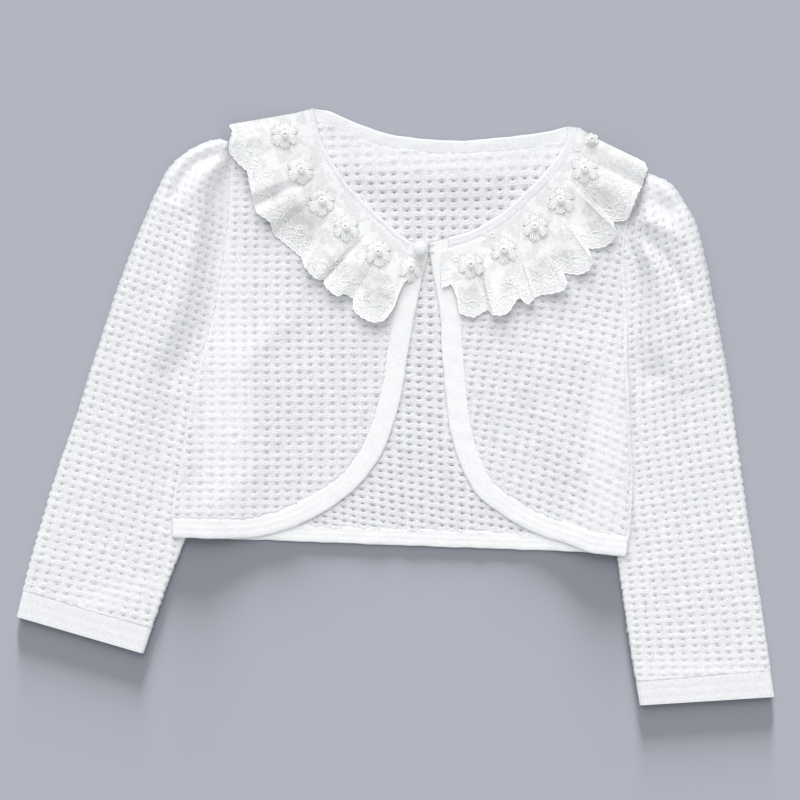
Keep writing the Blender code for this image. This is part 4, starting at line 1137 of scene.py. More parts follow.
@dataclass
class BackBody:
    """The back: its openwork, its hem band, its neck binding and the plain knit under the neck."""

    finishes: "Finishes"
    grain: Grain = Grain(7.15, 5.45, 1.0, 11, 0.08, 0.10, -0.08, 0.09)
    stitch: Stitch = Stitch(hole_columns=(1, 5), wall=0.38, narrowing=0.34, lightness=0.06)
    plain: float = 14.0
    steps: int = 90

    def build(self) -> None:
        """Make the back's pieces."""
        shares = np.linspace(0, 1, self.steps)
        neck = LINES["neck_back"]
        edge = neck.beside(shares, -NECK_BINDING_WIDTH + TUCK)
        inner = neck.beside(shares, -NECK_BINDING_WIDTH)
        for end, line, outward in ((0, LINES["neck_right"], -1.0), (-1, LINES["neck_left"], 1.0)):
            inner[end] = line.beside(0.0, outward * NECK_BINDING_WIDTH)
            edge[end] = line.beside(0.0, outward * (NECK_BINDING_WIDTH - TUCK))
        right = np.linspace(LINES["armhole_right"].at(1.0), edge[0], 16)
        left = np.linspace(edge[-1], LINES["armhole_left"].at(1.0), 16)
        top = even(np.vstack([right[:-1], edge, left[1:]]), self.steps)
        bottom = LINES["back_hem"].beside(length_shares(top), BACK_BAND_WIDTH - TUCK - 1.6)
        outline_right = even(outline_down(Side.RIGHT, bottom[0, 1], 60), self.steps)
        outline_left = even(outline_down(Side.LEFT, bottom[-1, 1], 60), self.steps)
        bottom[0], bottom[-1] = outline_right[-1], outline_left[-1]
        plan = patch(top, bottom, outline_right, outline_left)
        chart = Chart(turned(plan, self.grain.turn), at_height(plan, back_base(plan) + WALL))
        shape = Shape()
        holes = add_knit(shape, chart, self.grain, self.stitch, neck, NECK_BINDING_WIDTH + self.plain)
        piece = shape.build("back_panel_knit", self.finishes.knit, "knit", "back_panel")
        LOG.info("back: %d holes", holes)
        Band("neck_binding_back_jersey", "neck_binding_back", even(neck.at(shares), 150), even(inner, 150), back_base,
             seed=5, edge_roll=0.3, grooves=(0.0, 0.0), sink=0.6, sink_over=6.6, tone=0.85).build(self.finishes.jersey)
        hem = LINES["back_hem"]
        wide = np.linspace(0, 1, 200)
        Band("back_hem_band_jersey", "back_hem_band", hem.at(wide), hem.beside(wide, BACK_BAND_WIDTH), back_base,
             thick=1.35, crown=0.1, seed=6).build(self.finishes.jersey)


@dataclass
class FrontBody:
    """One front: its openwork, the band down its edge and the binding along its neck."""

    finishes: "Finishes"
    side: Side
    grain: Grain
    corner: float
    steps: int = 80

    def __post_init__(self) -> None:
        """Work out the lines of the front."""
        outward = self.side.value
        self.neck = LINES["neck_" + self.side.word].longer(0.0, 6.0)
        self.edge = LINES["front_edge_" + self.side.word].longer(10.0, 0.0)
        self.band = outward * FRONT_BAND_WIDTH
        self.binding = outward * NECK_BINDING_WIDTH

    def knit_panel(self) -> None:
        """Knit the panel."""
        outward = self.side.value
        tuck = outward * TUCK
        neck_end, edge_start = crossing(self.neck, self.binding - tuck, self.edge, self.band - tuck)
        neck = self.neck.beside(np.linspace(0, neck_end, 50), self.binding - tuck)
        down = np.vstack([neck, self.edge.beside(np.linspace(edge_start, self.corner, 60), self.band - tuck)[1:]])
        bottom = even(self.edge.beside(np.linspace(self.corner, 1, 80), self.band - tuck)[::-1], self.steps)
        outline = even(outline_down(self.side, bottom[0, 1], 60), self.steps)
        shoulder = np.linspace(outline[0], neck[0], self.steps)
        bottom[0] = outline[-1]
        plan = patch(shoulder, bottom, outline, even(down, self.steps))
        height = front_base(plan) + WALL + soft_waves(plan, self.grain.seed, 60.0, 0.7)
        chart = Chart(turned(plan, self.grain.turn), at_height(plan, height))
        shape = Shape()
        holes = add_knit(shape, chart, self.grain, Stitch(narrowing=0.28, lightness=0.2))
        panel = "front_panel_" + self.side.word
        piece = shape.build(panel + "_knit", self.finishes.knit, "knit", panel)
        LOG.info("front %s: %d holes", self.side.word, holes)

    def build(self) -> None:
        """Make the front's pieces."""
        self.knit_panel()
        outward = self.side.value
        start, _ = crossing(self.edge, 0.0, self.neck, 0.0)
        inner_start, _ = crossing(self.edge, self.band, self.neck, 0.0)
        outer = self.edge.at(np.linspace(start, 1.0, 300))
        inner = self.edge.beside(np.linspace(inner_start, 1.0, 300), self.band)
        Band(f"front_band_{self.side.word}_jersey", "front_band_" + self.side.word, outer, inner, front_base,
             seed=20 + int(self.side.value), grooves=(0.05, 0.26)).build(self.finishes.jersey)
        inset = self.band - 2.0 * outward
        end, _ = crossing(self.neck, 0.0, self.edge, inset)
        inner_end, _ = crossing(self.neck, self.binding, self.edge, inset)
        outer = self.neck.at(np.linspace(0, end, 160))
        inner = self.neck.beside(np.linspace(0, inner_end, 160), self.binding)
        Band(f"neck_binding_{self.side.word}_jersey", "neck_binding_" + self.side.word, outer, inner, front_base,
             thick=2.0, seed=30 + int(self.side.value), edge_roll=0.45, grooves=(0.0, 0.0), fade=0.1,
             sink=0.4, sink_from=3.5 + 1.1 * outward, tone=0.5).build(self.finishes.jersey)


def quarter_round(distance: np.ndarray, length: float) -> np.ndarray:
    """Rise of a rounded edge."""
    part = 1.0 - np.clip(distance / length, 0.0, 1.0)
    return np.sqrt(1.0 - part * part)


class Ring(NamedTuple):
    """What a sleeve's section is made from."""

    outer: np.ndarray
    inner: np.ndarray
    crown: float
    raised: float
    roll: float
    closed: bool
    stack: float


def section_distances(width: float, roll: float) -> np.ndarray:
    """Distances from the outer fold at which a section is read, close together in its rounded parts.

    Args:
        width: Width of the section.
        roll: Reach of the outer rounding.

    Returns:
        The distances.
    """
    near = roll * (1 - np.cos(np.linspace(0, math.pi / 2, 9)))
    far = width - FOLD_ROUND * (1 - np.cos(np.linspace(math.pi / 2, 0, 7)))
    return np.concatenate([near, np.linspace(near[-1], far[0], 26)[1:-1], far])


def section(ring: Ring, folds: Sequence[Fold]) -> np.ndarray:
    """Points of a section, from its inner side under the sleeve round its outer fold to its inner side above.

    Args:
        ring: The section.
        folds: Gathers and creases of the sleeve.

    Returns:
        The points.
    """
    across = ring.inner - ring.outer
    width = float(np.linalg.norm(across))
    distances = section_distances(width, ring.roll)
    from_outer = np.concatenate([distances[::-1], distances[1:]])
    above = np.arange(len(from_outer)) >= len(distances) - 1
    shares = from_outer / width
    plan = ring.outer + shares[:, None] * across
    fall = np.clip((shares / ring.raised - 1 + CROWN_FALL) / CROWN_FALL, 0, 1)
    raised = 0.5 * (1 + np.cos(np.pi * fall))
    creases = folds_height(folds, plan) * raised * np.clip(ring.crown - ring.stack, 0, 1)
    top = np.maximum(ring.stack, ring.stack + (ring.crown - ring.stack) * raised + creases)
    middle = 0.5 * ring.stack + (0.25 * ring.roll - 0.25 * FOLD_ROUND) * (1 - ease(shares / 0.2))
    rise = quarter_round(from_outer, ring.roll)
    if ring.closed:
        rise = np.minimum(rise, quarter_round(width - from_outer, FOLD_ROUND))
    height = np.where(above, middle + (top - middle) * rise, middle * (1 - rise))
    return np.column_stack([plan, height])


@dataclass
class Sleeve:
    """One puffed sleeve with its cuff band."""

    finishes: "Finishes"
    side: Side
    arm: Sequence[ArmSection]
    head: Sequence[HeadSection]
    folds: Sequence[Fold]
    grain: Grain
    arm_steps: int = 80
    head_steps: int = 70

    def row_after(self, length: float) -> float:
        """Find the row of the section that lies a length up the outer fold.

        Args:
            length: The length.

        Returns:
            The row number.
        """
        rows = np.linspace(0, len(self.arm) - 1, 81)
        steps = np.linalg.norm(np.diff(spline(self.arm, rows)[:, :2], axis=0), axis=1)
        return float(np.interp(length, np.concatenate(([0.0], np.cumsum(steps))), rows))

    def sections(self) -> np.ndarray:
        """Sections of the whole sleeve, from the cuff band to the shoulder."""
        armhole = LINES["armhole_" + self.side.word]
        start = self.row_after(CUFF_BAND_WIDTH - TUCK)
        found = [
            section(Ring(row[0:2], row[2:4], row[4], row[5], FOLD_ROUND, True, SLEEVE_STACK), self.folds)
            for row in spline(self.arm, np.linspace(start, len(self.arm) - 1, self.arm_steps))
        ]
        heads = [
            section(Ring(row[0:2], armhole.beside(row[2], -self.side.value * SEAM_GAP), row[3], row[4], row[5], False,
                         SLEEVE_STACK), self.folds)
            for row in spline(self.head, np.linspace(0, len(self.head) - 1, self.head_steps))
        ]
        between = [found[-1] + share * (heads[0] - found[-1]) for share in np.linspace(0, 1, 9)[1:-1]]
        return np.stack(found + between + heads)

    def chart(self) -> Chart:
        """Spread the sleeve out from its outer fold."""
        form = self.sections()
        fold = (form.shape[1] - 1) // 2
        tangent = unit(np.gradient(form[:, fold, :2], axis=0))
        inward = unit(form[:, -1, :2] - form[:, fold, :2])
        mirrored = 2 * (inward * tangent).sum(axis=1, keepdims=True) * tangent - inward
        above = np.stack([reached(row[fold:]) for row in form])
        under = np.stack([reached(row[fold::-1])[::-1] for row in form])
        start = form[:, fold, None, :2]
        plan = np.concatenate([
            start + under[:, :-1, None] * mirrored[:, None],
            start + above[:, :, None] * inward[:, None],
        ], axis=1)
        return Chart(turned(plan, self.grain.turn), form)

    def build(self) -> None:
        """Make the sleeve's pieces."""
        chart = self.chart()
        shape = Shape()
        holes = add_knit(shape, chart, self.grain, Stitch(narrowing=0.28, lightness=0.42))
        sleeve = "sleeve_" + self.side.word
        piece = shape.build(sleeve + "_knit", self.finishes.knit, "knit", sleeve)
        LOG.info("sleeve %s: %d holes", self.side.word, holes)
        chart.flat_size()
        chart.flat_area()
        self.build_cuff()

    def build_cuff(self) -> None:
        """Make the cuff band, a flattened tube open at both ends."""
        outer, inner, flat = [], [], []
        reach = 0.0
        last = None
        for row in spline(self.arm, np.linspace(0, self.row_after(CUFF_BAND_WIDTH), 20)):
            ring = Ring(row[0:2], row[2:4], CUFF_STACK + 0.5, 1.6, FOLD_ROUND, True, CUFF_STACK)
            points = section(ring, ())
            middle = points.mean(axis=0)
            groove = math.cos(3 * math.pi * len(outer) / 19) ** 6
            points[:, 2] = np.where(points[:, 2] > middle[2], points[:, 2] - 0.16 * groove, points[:, 2])
            tight = points.copy()
            away = points[:, :2] - middle[:2]
            tight[:, :2] = middle[:2] + away * (1 - 1.2 / np.linalg.norm(away, axis=1, keepdims=True).clip(1.3))
            tight[:, 2] = middle[2] + (points[:, 2] - middle[2]) * 0.35
            reach += 0.0 if last is None else float(np.linalg.norm(row[0:2] - last))
            last = row[0:2]
            outer.append(points)
            inner.append(tight)
            flat.append(np.column_stack([reached(points), np.full(len(points), reach)]))
        outer, inner, flat = np.stack(outer), np.stack(inner), np.stack(flat)
        shape = Shape()
        order = slice(None, None, -1 if self.side is Side.LEFT else 1)
        # The cuff band is painted darker all over: painted shade that offsets the stronger light on its upturned top.
        shape.add_shell(outer[:, order], inner[:, order], flat[:, order], np.full(outer.shape[:2], 0.35))
        cuff = "cuff_band_" + self.side.word
        piece = shape.build(cuff + "_jersey", self.finishes.jersey, "jersey", cuff)


class Ruffle:
    """A gathered strip of lace that lies on a front, from the neck binding out."""

    def __init__(self, side: Side, flutes: Sequence[Flute]) -> None:
        """Hold the side and the flutes.

        Args:
            side: The side of the collar.
            flutes: Its ridges and valleys.
        """
        self.side = side
        self.flutes = flutes
        self.hidden = 0.09 - 0.03 * side.value
        self.neck = LINES["neck_" + side.word]

    def middle(self, places: np.ndarray, reaches: np.ndarray) -> np.ndarray:
        """Find points halfway through the lace.

        Args:
            places: Places along the flutes.
            reaches: Reaches out from the neck, a row of them for each place or one row for all.

        Returns:
            The points, a row for each place.
        """
        rows = spline(self.flutes, places, RUFFLE_PULL)
        start = self.neck.beside(np.clip(rows[:, 0], 0, 1), self.side.value * LACE_START)
        end = rows[:, 1:3]
        reaches = np.broadcast_to(reaches, (len(places), reaches.shape[-1]))
        plan = start[:, None] + reaches[..., None] * (end - start)[:, None]
        swell = np.clip((reaches - FLUTE_START) / (1 - FLUTE_START), 0, None)
        height = np.maximum(rows[:, 3], 0.3)[:, None] * swell - 0.6 * ease(-reaches / self.hidden)
        base = front_base(plan) + WALL + LACE_CLEARANCE + LACE_WALL / 2
        return at_height(plan, base + height)


@dataclass
class CollarSide:
    """One front ruffle with its embroidery, its daisies and their pearls."""

    finishes: "Finishes"
    side: Side
    flutes: Sequence[Flute]
    flowers: Sequence[Flower]
    trims: Sequence[Spots]
    rings: Spots
    steps: int = 10
    deep: int = 30
    cloth: float = 0.45
    motif: float = 9.0
    chart: Chart | None = None
    outline: float = 0.0
    depth: float = 0.0
    tree: BVHTree | None = None

    def lay_lace(self) -> None:
        """Lay the lace itself."""
        ruffle = Ruffle(self.side, self.flutes)
        count = (len(self.flutes) - 1) * self.steps + 1
        places = np.linspace(0, len(self.flutes) - 1, count)
        middle = ruffle.middle(places, np.linspace(-ruffle.hidden, 1, self.deep))
        reach = reached(middle[:, -1])
        rows = np.concatenate(([0.0], np.cumsum(np.linalg.norm(np.diff(middle, axis=1), axis=2).mean(axis=0))))
        self.outline = float(reach[-1])
        self.depth = float(rows[-1])
        normals = surface_normals(middle)
        scallop = 0.7 * np.abs(np.sin(reach * math.pi / (self.motif / 2)))
        outward = unit(middle[:, -1] - middle[:, -2])
        share = np.clip((np.linspace(0, 1, self.deep) - 0.9) / 0.1, 0, 1)
        middle = middle + (share[None] * scallop[:, None])[..., None] * outward[:, None]
        flat = spread(reach, self.depth - rows, middle.shape[:2])
        upper = middle + normals * self.cloth / 2
        lower = middle - normals * self.cloth / 2
        self.chart = Chart(flat, upper)
        self.chart.normals = normals.reshape(-1, 3)
        shape = Shape()
        # Painted shade in the collar's hollows: a lower tone darkens the net there and makes it a little sheerer.
        tone = 1.0 - patches_at(middle, HOLLOWS)
        order = slice(None, None, -1 if self.side is Side.RIGHT else 1)
        shape.add_shell(upper[order], lower[order], flat[order], tone[order])
        collar = "collar_ruffle_" + self.side.word
        piece = shape.build(collar + "_lace", self.finishes.lace, "lace", collar)
        quads = grid_faces(*upper.shape[:2])
        self.tree = BVHTree.FromPolygons(upper.reshape(-1, 3).tolist(), quads)

    def laid(self, paths: np.ndarray, lift: float) -> tuple[np.ndarray, np.ndarray]:
        """Lay flat paths on the lace.

        Args:
            paths: Flat paths: millimetres along the outer edge, and in from it.
            lift: Height of the threads' middle over the lace.

        Returns:
            The laid paths and their normals.
        """
        points, normals = self.chart.place(paths.reshape(-1, 2))
        points = points + normals * lift
        return points.reshape(*paths.shape[:2], 3), normals.reshape(*paths.shape[:2], 3)

    @staticmethod
    def repeated(centres: np.ndarray, along: np.ndarray, depth: np.ndarray) -> np.ndarray:
        """Repeat a motif along the border."""
        places = centres.reshape(-1, *[1] * along.ndim) + along
        return np.stack([places, np.broadcast_to(depth, places.shape)], axis=-1)

    def embroider(self) -> None:
        """Embroider the border: scallops, fans, eyelets and leaves."""
        shape = Shape()
        edge = np.arange(0.6, self.outline - 0.6, 0.45)
        for depth, radius in ((0.15, 0.46), (1.5, 0.28), (9.6, 0.36)):
            wave = 0.35 * np.abs(np.sin(edge * math.pi / 2.2)) if depth == 0.15 else 0.0
            wave = wave + (1.0 * np.sin(edge * 2 * math.pi / self.motif) if depth == 9.6 else 0.0)
            path = np.column_stack([edge, depth - wave + np.zeros(len(edge))])[None]
            path[..., 1] = np.maximum(path[..., 1], 0.05)
            shape.add_tubes(*self.laid(path, radius * 0.4), radius)
        centres = np.arange(self.motif / 2, self.outline - self.motif / 2, self.motif)
        turns = np.linspace(math.radians(-160), math.radians(-20), 9)
        spokes = np.linspace(1.5, 3.4, 5)
        fans = self.repeated(centres, spokes * np.cos(turns)[:, None], 5.0 + spokes * np.sin(turns)[:, None])
        shape.add_tubes(*self.laid(fans.reshape(-1, len(spokes), 2), 0.16), 0.28, sides=4)
        right, up = around(full_turn(12)).T
        for radius, depth, step, thick in ((0.95, 5.0, 0.0, 0.26), (0.6, 12.4, 0.5, 0.22)):
            rings = self.repeated(centres[:-1] + step * self.motif, radius * right, depth + radius * up)
            shape.add_tubes(*self.laid(rings, 0.16), thick, closed=True)
        leaf = np.sin(np.linspace(0, math.pi, 7))
        spine = np.linspace(0, 3.2, 7)
        for lean, bulge in ((-1, -1), (-1, 1), (1, -1), (1, 1)):
            leaves = self.repeated(centres[:-1] + 0.5 * self.motif, lean * (0.7 + 0.55 * spine) + bulge * 0.55 * leaf,
                                   8.0 + (lean * bulge * 0.3 * leaf - 0.75 * spine))
            shape.add_tubes(*self.laid(leaves, 0.14), 0.26, sides=4)
        arc = np.linspace(0, math.pi, 15)
        arcs = self.repeated(centres, -4.3 * np.cos(arc), 5.9 - 4.2 * np.sin(arc))
        shape.add_tubes(*self.laid(arcs, 0.16), 0.36)
        for trim in self.trims:
            self.sew_trim(shape, trim)
        for number, spot in enumerate(self.rings):
            self.sew_ring(shape, spot, number)
        shape.build(f"collar_embroidery_{self.side.word}", self.finishes.thread, "lace")

    def sew(self, shape: Shape, paths: np.ndarray, radius: float, closed: bool = False) -> None:
        """Sew threads that lie on the lace where the plan shows them."""
        heights = self.height_under(paths) + 0.6 * radius
        shape.add_tubes(at_height(paths, heights), UP, radius, closed=closed)

    def sew_trim(self, shape: Shape, spots: Sequence[tuple[float, float]]) -> None:
        """Sew a chain of small loops between two cords.

        Args:
            shape: The embroidery.
            spots: The line that the chain follows.
        """
        line = np.array(spots)
        count = max(int(np.linalg.norm(np.diff(line, axis=0), axis=1).sum() / 2.1), 3)
        centres = even(line, count)
        along = unit(np.gradient(centres, axis=0))
        across = leftward(along)
        turns = full_turn(11)
        loops = centres[:, None] + 0.9 * np.cos(turns)[None, :, None] * along[:, None]
        self.sew(shape, loops + 1.1 * np.sin(turns)[None, :, None] * across[:, None], 0.27, closed=True)
        for shift in (-1.6, 1.6):
            self.sew(shape, even(centres + shift * across, count * 3)[None], 0.24)

    def sew_ring(self, shape: Shape, spot: tuple[float, float], number: int) -> None:
        """Sew a ring with a spray of leaves.

        Args:
            shape: The embroidery.
            spot: Its middle.
            number: Its number, which turns the spray.
        """
        circle = around(full_turn(12))
        self.sew(shape, (np.array(spot) + 1.5 * circle)[None], 0.42, closed=True)
        leans = number * 2.1 + np.radians((-70, -20, 30, 80))
        out = around(leans)[:, None]
        leaves = np.array(spot) + out * (4.0 + 1.9 * circle[:, :1]) + leftward(out) * 0.85 * circle[:, 1:]
        self.sew(shape, leaves, 0.26, closed=True)

    def height_under(self, plan: np.ndarray) -> np.ndarray:
        """Find how high the lace or the front lies under points of the plan.

        Args:
            plan: Points of the plan.

        Returns:
            The height at each point.
        """
        floor = front_base(plan) + WALL + LACE_CLEARANCE
        found = []
        for right, up in plan.reshape(-1, 2).tolist():
            hit = self.tree.ray_cast(Vector((right, up, 60.0)), DOWN, 80.0)[0]
            found.append(-1.0 if hit is None else hit.z)
        return np.maximum(np.array(found).reshape(plan.shape[:-1]), floor)

    def rest(self, flower: Flower, distances: np.ndarray, turns: np.ndarray) -> np.ndarray:
        """Find the smooth height at which a daisy rests.

        Args:
            flower: The daisy.
            distances: Distances from its middle, a row of them for each turn or one row for all.
            turns: Turns round it.

        Returns:
            A height for each turn and each distance.
        """
        spokes, rings = 24, 5
        coarse = np.linspace(0, flower.radius * 1.05, rings + 1)
        plan = np.array((flower.right, flower.up)) + coarse[None, :, None] * around(full_turn(spokes))[:, None]
        heights = self.height_under(plan)
        nudges = [self.height_under(plan + nudge) for nudge in ((1.4, 0), (-1.4, 0), (0, 1.4), (0, -1.4))]
        heights = np.maximum.reduce([heights, *nudges])
        heights[:, 0] = heights[:, :2].mean()
        smooth = heights
        for _ in range(2):
            beside = 0.5 * np.roll(smooth, 1, axis=0) + 0.5 * np.roll(smooth, -1, axis=0)
            smooth = np.maximum(heights - 0.5, (smooth + beside) / 2)
        smooth = np.vstack([smooth, smooth[:1]])
        where = (turns % (2 * math.pi)) / (2 * math.pi) * spokes
        base = np.clip(np.floor(where).astype(int), 0, spokes - 1)
        part = (where - base)[:, None]
        rows = (1 - part) * smooth[base] + part * smooth[base + 1]
        reach = np.clip(distances / coarse[-1] * rings, 0, rings)
        low = np.clip(np.floor(reach).astype(int), 0, rings - 1)
        share = reach - low
        picked = np.arange(len(turns))[:, None]
        return (1 - share) * rows[picked, low] + share * rows[picked, low + 1]

    @staticmethod
    def dome(distances: np.ndarray) -> np.ndarray:
        """How strongly a daisy rises towards its pearl, as a share."""
        return ease(DOME_EDGE - distances / DOME_REACH)

    def daisy(self, number: int, flower: Flower) -> None:
        """Make one daisy: petals with raised threads and looped ends.

        Args:
            number: Its number from the shoulder.
            flower: Its place and size.
        """
        name = f"daisy_{self.side.word}_{number}"
        draw = np.random.default_rng(100 + number + (50 if self.side is Side.LEFT else 0))
        shape = Shape()
        middle = np.array((flower.right, flower.up))
        steps = PETALS * PETAL_STEPS
        turns = full_turn(steps)
        phase = (turns * PETALS / (2 * math.pi)) % 1.0
        away = middle - (0.0, 150.0)
        hang = math.atan2(away[1], away[0])
        heads = (np.arange(PETALS) + 0.5) * 2 * math.pi / PETALS
        sizes = draw.uniform(0.93, 1.03, PETALS) * (0.97 + 0.07 * np.cos(heads - hang))
        size = sizes[(turns * PETALS / (2 * math.pi)).astype(int) % PETALS]
        lobe = np.abs(np.sin(math.pi * phase)) ** 0.32
        outline = flower.radius * size * (PETAL_NOTCH + PETAL_LOBE * lobe)
        shares = np.array((0.14, 0.26, 0.40, 0.55, 0.70, 0.85, 1.0))
        distances = outline[:, None] * shares[None]
        plan = middle + distances[..., None] * around(turns)[:, None]
        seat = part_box(f"pearl_{self.side.word}_{number}")[0][2] / MM + SEAT_OVER_FLOWER
        low = self.rest(flower, distances, turns) + 0.30
        dome = DOME_SHARE * max(seat - float(low[:, 0].mean()), 0.0)
        low = low + dome * self.dome(distances)
        crown = 0.15 * np.sin(math.pi * np.clip(shares, 0, 1)) ** 0.8
        ridge = np.abs(np.sin(5 * math.pi * phase))
        swell = np.sin(math.pi * np.clip(shares * 0.85 + 0.1, 0, 1))
        upper = low + 0.3 + crown[None] + 0.2 * ridge[:, None] * swell[None]
        # Painted shade between each petal's raised threads, where the sheet is also sheerer, and painted light near
        # the middle that offsets the pearl's shadow.
        tone = 0.42 + 0.58 * np.maximum(ridge[:, None] * swell[None], ease(1.5 - distances / 3.2))
        lower = low + 0.8 * crown[None]
        width = len(shares)
        count = steps * width
        faces = []
        for step in range(steps):
            after = (step + 1) % steps
            for ring in range(width - 1):
                a, b = step * width + ring, after * width + ring
                faces.append((a, a + 1, b + 1, b))
                faces.append((a + count, b + count, b + 1 + count, a + 1 + count))
            a, b = step * width + width - 1, after * width + width - 1
            faces.append((a, a + count, b + count, b))
            a, b = step * width, after * width
            faces.append((a, b, b + count, a + count))
        points = np.concatenate([at_height(plan, side).reshape(-1, 3) for side in (upper, lower)])
        shape.add(points, faces, None, np.tile(tone.ravel(), 2))
        ring = full_turn(16)
        for radius, thick in DAISY_RINGS:
            height = self.rest(flower, np.array(((radius,),)), ring)[:, 0] + 0.75 + dome * self.dome(radius)
            shape.add_tubes(at_height(middle + radius * around(ring), height)[None], UP, thick, closed=True)
        bow = np.linspace(0, math.pi, 17)
        for head, reach in zip(heads + draw.normal(0, 0.07, PETALS), sizes):
            for finger in FINGERS:
                lean = head + math.radians(11.5 * finger + draw.normal(0, 1.2)) + math.radians(5.0) * np.cos(bow)
                tip = flower.radius * reach * draw.uniform(0.97, 1.05) - 0.35 * abs(finger) ** 2
                out = FINGER_START + (tip - FINGER_START) * np.sin(bow) ** 0.4
                rise = self.rest(flower, out[:, None], lean)[:, 0] + 0.85 + 0.25 * np.sin(bow)
                path = at_height(middle + out[:, None] * around(lean), rise + dome * self.dome(out))
                shape.add_tubes(path[None], UP, FINGER_THICK)
        shape.build(name + "_lace", self.finishes.petal, "lace", name)
        self.pearl(number)

    def pearl(self, number: int) -> None:
        """Make one pearl with its drilled hole, painted dark inside as painted shade.

        Args:
            number: Its number from the shoulder.
        """
        name = f"pearl_{self.side.word}_{number}"
        low, high = (np.array(corner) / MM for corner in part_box(name))
        middle = (low + high) / 2
        half = float((high - low).max() / 2) * PEARL_SWELL
        shape = Shape()
        polar = np.concatenate([[0.0, 0.3], np.radians((25.0, 31.0)), np.linspace(math.radians(40), math.pi, 14)])
        turns = full_turn(28)
        radius = np.where(polar < HOLE_TURN, half * 0.6, half)
        radius[2] = half * 0.95
        lean = math.radians(PEARL_LEAN)
        points = [np.stack([
            radius * np.sin(polar) * math.cos(turn),
            radius * np.sin(polar) * math.sin(turn),
            radius * np.cos(polar),
        ], axis=-1) for turn in turns]
        grid = np.stack(points + points[:1])
        tilt = np.array(((1, 0, 0), (0, math.cos(lean), -math.sin(lean)), (0, math.sin(lean), math.cos(lean))))
        spin = number * 1.1
        about = np.array(((math.cos(spin), -math.sin(spin), 0), (math.sin(spin), math.cos(spin), 0), (0, 0, 1)))
        # The drilled hole gets tone 0: painted shade inside the hole.
        tone = np.broadcast_to(np.where(polar < HOLE_TURN, 0.0, 1.0)[None], grid.shape[:2])
        shape.add_turned(middle + grid @ tilt.T @ about.T, tone)
        shape.build(name + "_bead", self.finishes.pearl, "pearl", name)

    def build(self) -> None:
        """Make every piece of this side of the collar."""
        self.lay_lace()
        self.embroider()
        for number, flower in enumerate(self.flowers, start=1):
            self.daisy(number, flower)


@dataclass
class BackRuffle:
    """The hidden ruffle of the back, flat between the floor and the back."""

    finishes: "Finishes"
    steps: int = 160
    deep: int = 14
    cloth: float = 0.6

    def build(self) -> None:
        """Make the ruffle."""
        shares = np.linspace(0, 1, self.steps)
        inner = LINES["neck_back"].beside(shares, -LACE_START)
        edge = Line(BACK_RUFFLE_EDGE)
        outer = edge.at(shares)
        reach = np.linspace(0, 1, self.deep)[None, :, None]
        plan = inner[:, None] + reach * (outer - inner)[:, None]
        wave = 0.2 * (1 + np.sin(shares * 130))[:, None] * reach[..., 0]
        upper = at_height(plan, self.cloth + wave)
        lower = at_height(plan, FLOOR_GAP + wave)
        along = shares * edge.length
        depth = float(np.linalg.norm(outer - inner, axis=1).mean())
        shape = Shape()
        shape.add_shell(upper, lower, spread(along, (1 - reach[0, :, 0]) * depth, wave.shape))
        piece = shape.build("collar_ruffle_back_lace", self.finishes.lace, "lace", "collar_ruffle_back")


@dataclass
class ButtonAndLoop:
    """The pearl button on its shank and the twisted cord loop round it."""

    finishes: "Finishes"
    plies: int = 2
    ply_radius: float = 0.29
    ply_reach: float = 0.24
    dome: float = 3.2

    def button(self) -> None:
        """Make the button."""
        low, high = (np.array(corner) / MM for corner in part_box("button"))
        middle = (low + high) / 2
        half = float((high - low)[:2].max() / 2)
        rise = float(high[2] - low[2])
        shank = SHANK_DIAMETER / 2
        profile = [(0.0, rise)]
        for angle in np.linspace(86, -55, 20):
            turn = math.radians(angle)
            profile.append((half * math.cos(turn), rise - self.dome + self.dome * math.sin(turn)))
        profile += [(shank * 1.15, 1.2), (shank, 0.9), (shank, 0.15), (shank * 1.2, 0.0), (0.0, 0.0)]
        profile = np.array(profile)
        turns = np.linspace(0, 2 * math.pi, 49)
        grid = np.stack([
            np.column_stack([profile[:, 0] * math.cos(turn), profile[:, 0] * math.sin(turn), profile[:, 1]])
            for turn in turns
        ]) + np.array((middle[0], middle[1], low[2]))
        shape = Shape()
        shape.add_turned(grid)
        shape.build("button_pearl", self.finishes.button, "pearl", "button")

    def loop(self) -> None:
        """Make the cord loop."""
        low, high = (np.array(corner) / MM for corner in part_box("button_loop"))
        reach = SHANK_DIAMETER / 2 + 0.9
        height = 0.5 * (low[2] + high[2])
        turns = np.radians(np.linspace(60, 300, 25))
        bend = np.column_stack([BUTTON_SPOT.right + reach * np.cos(turns), BUTTON_SPOT.up + reach * np.sin(turns)])
        ends = [(BUTTON_SPOT.right + LOOP_REACH, BUTTON_SPOT.up + sign * reach) for sign in (1, -1)]
        path = even(np.vstack([[ends[0]], bend, [ends[1]]]), 160)
        line = np.column_stack([path, np.full(len(path), height)])
        along = length_shares(line) * 30
        shape = Shape()
        sideways = at_height(unit(leftward(np.gradient(path, axis=0))), np.zeros(len(path)))
        for ply in range(self.plies):
            angle = (along * 2 + ply * math.pi)[:, None]
            strand = line + self.ply_reach * (np.cos(angle) * sideways + np.sin(angle) * UP)
            shape.add_tubes(strand[None], UP, self.ply_radius, sides=6)
        shape.build("button_loop_cord", self.finishes.cord, "jersey", "button_loop")
        shape = Shape()
        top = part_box("daisy_right_6")[1][2] / MM - 0.9
        steps = np.linspace(0, 1, 12)
        bow = np.sin(math.pi * steps)
        turn = np.column_stack([5.2 * steps, 1.5 * bow - 1.8 * steps, 0.5 * bow])
        for number in range(5):
            start = np.array((12.6 + 0.5 * number, 96.9 - 1.75 * number, top - 0.12 * number))
            shape.add_tubes((start + turn)[None], UP, 0.34, sides=6)
        shape.build("button_threads", self.finishes.cord, "jersey")


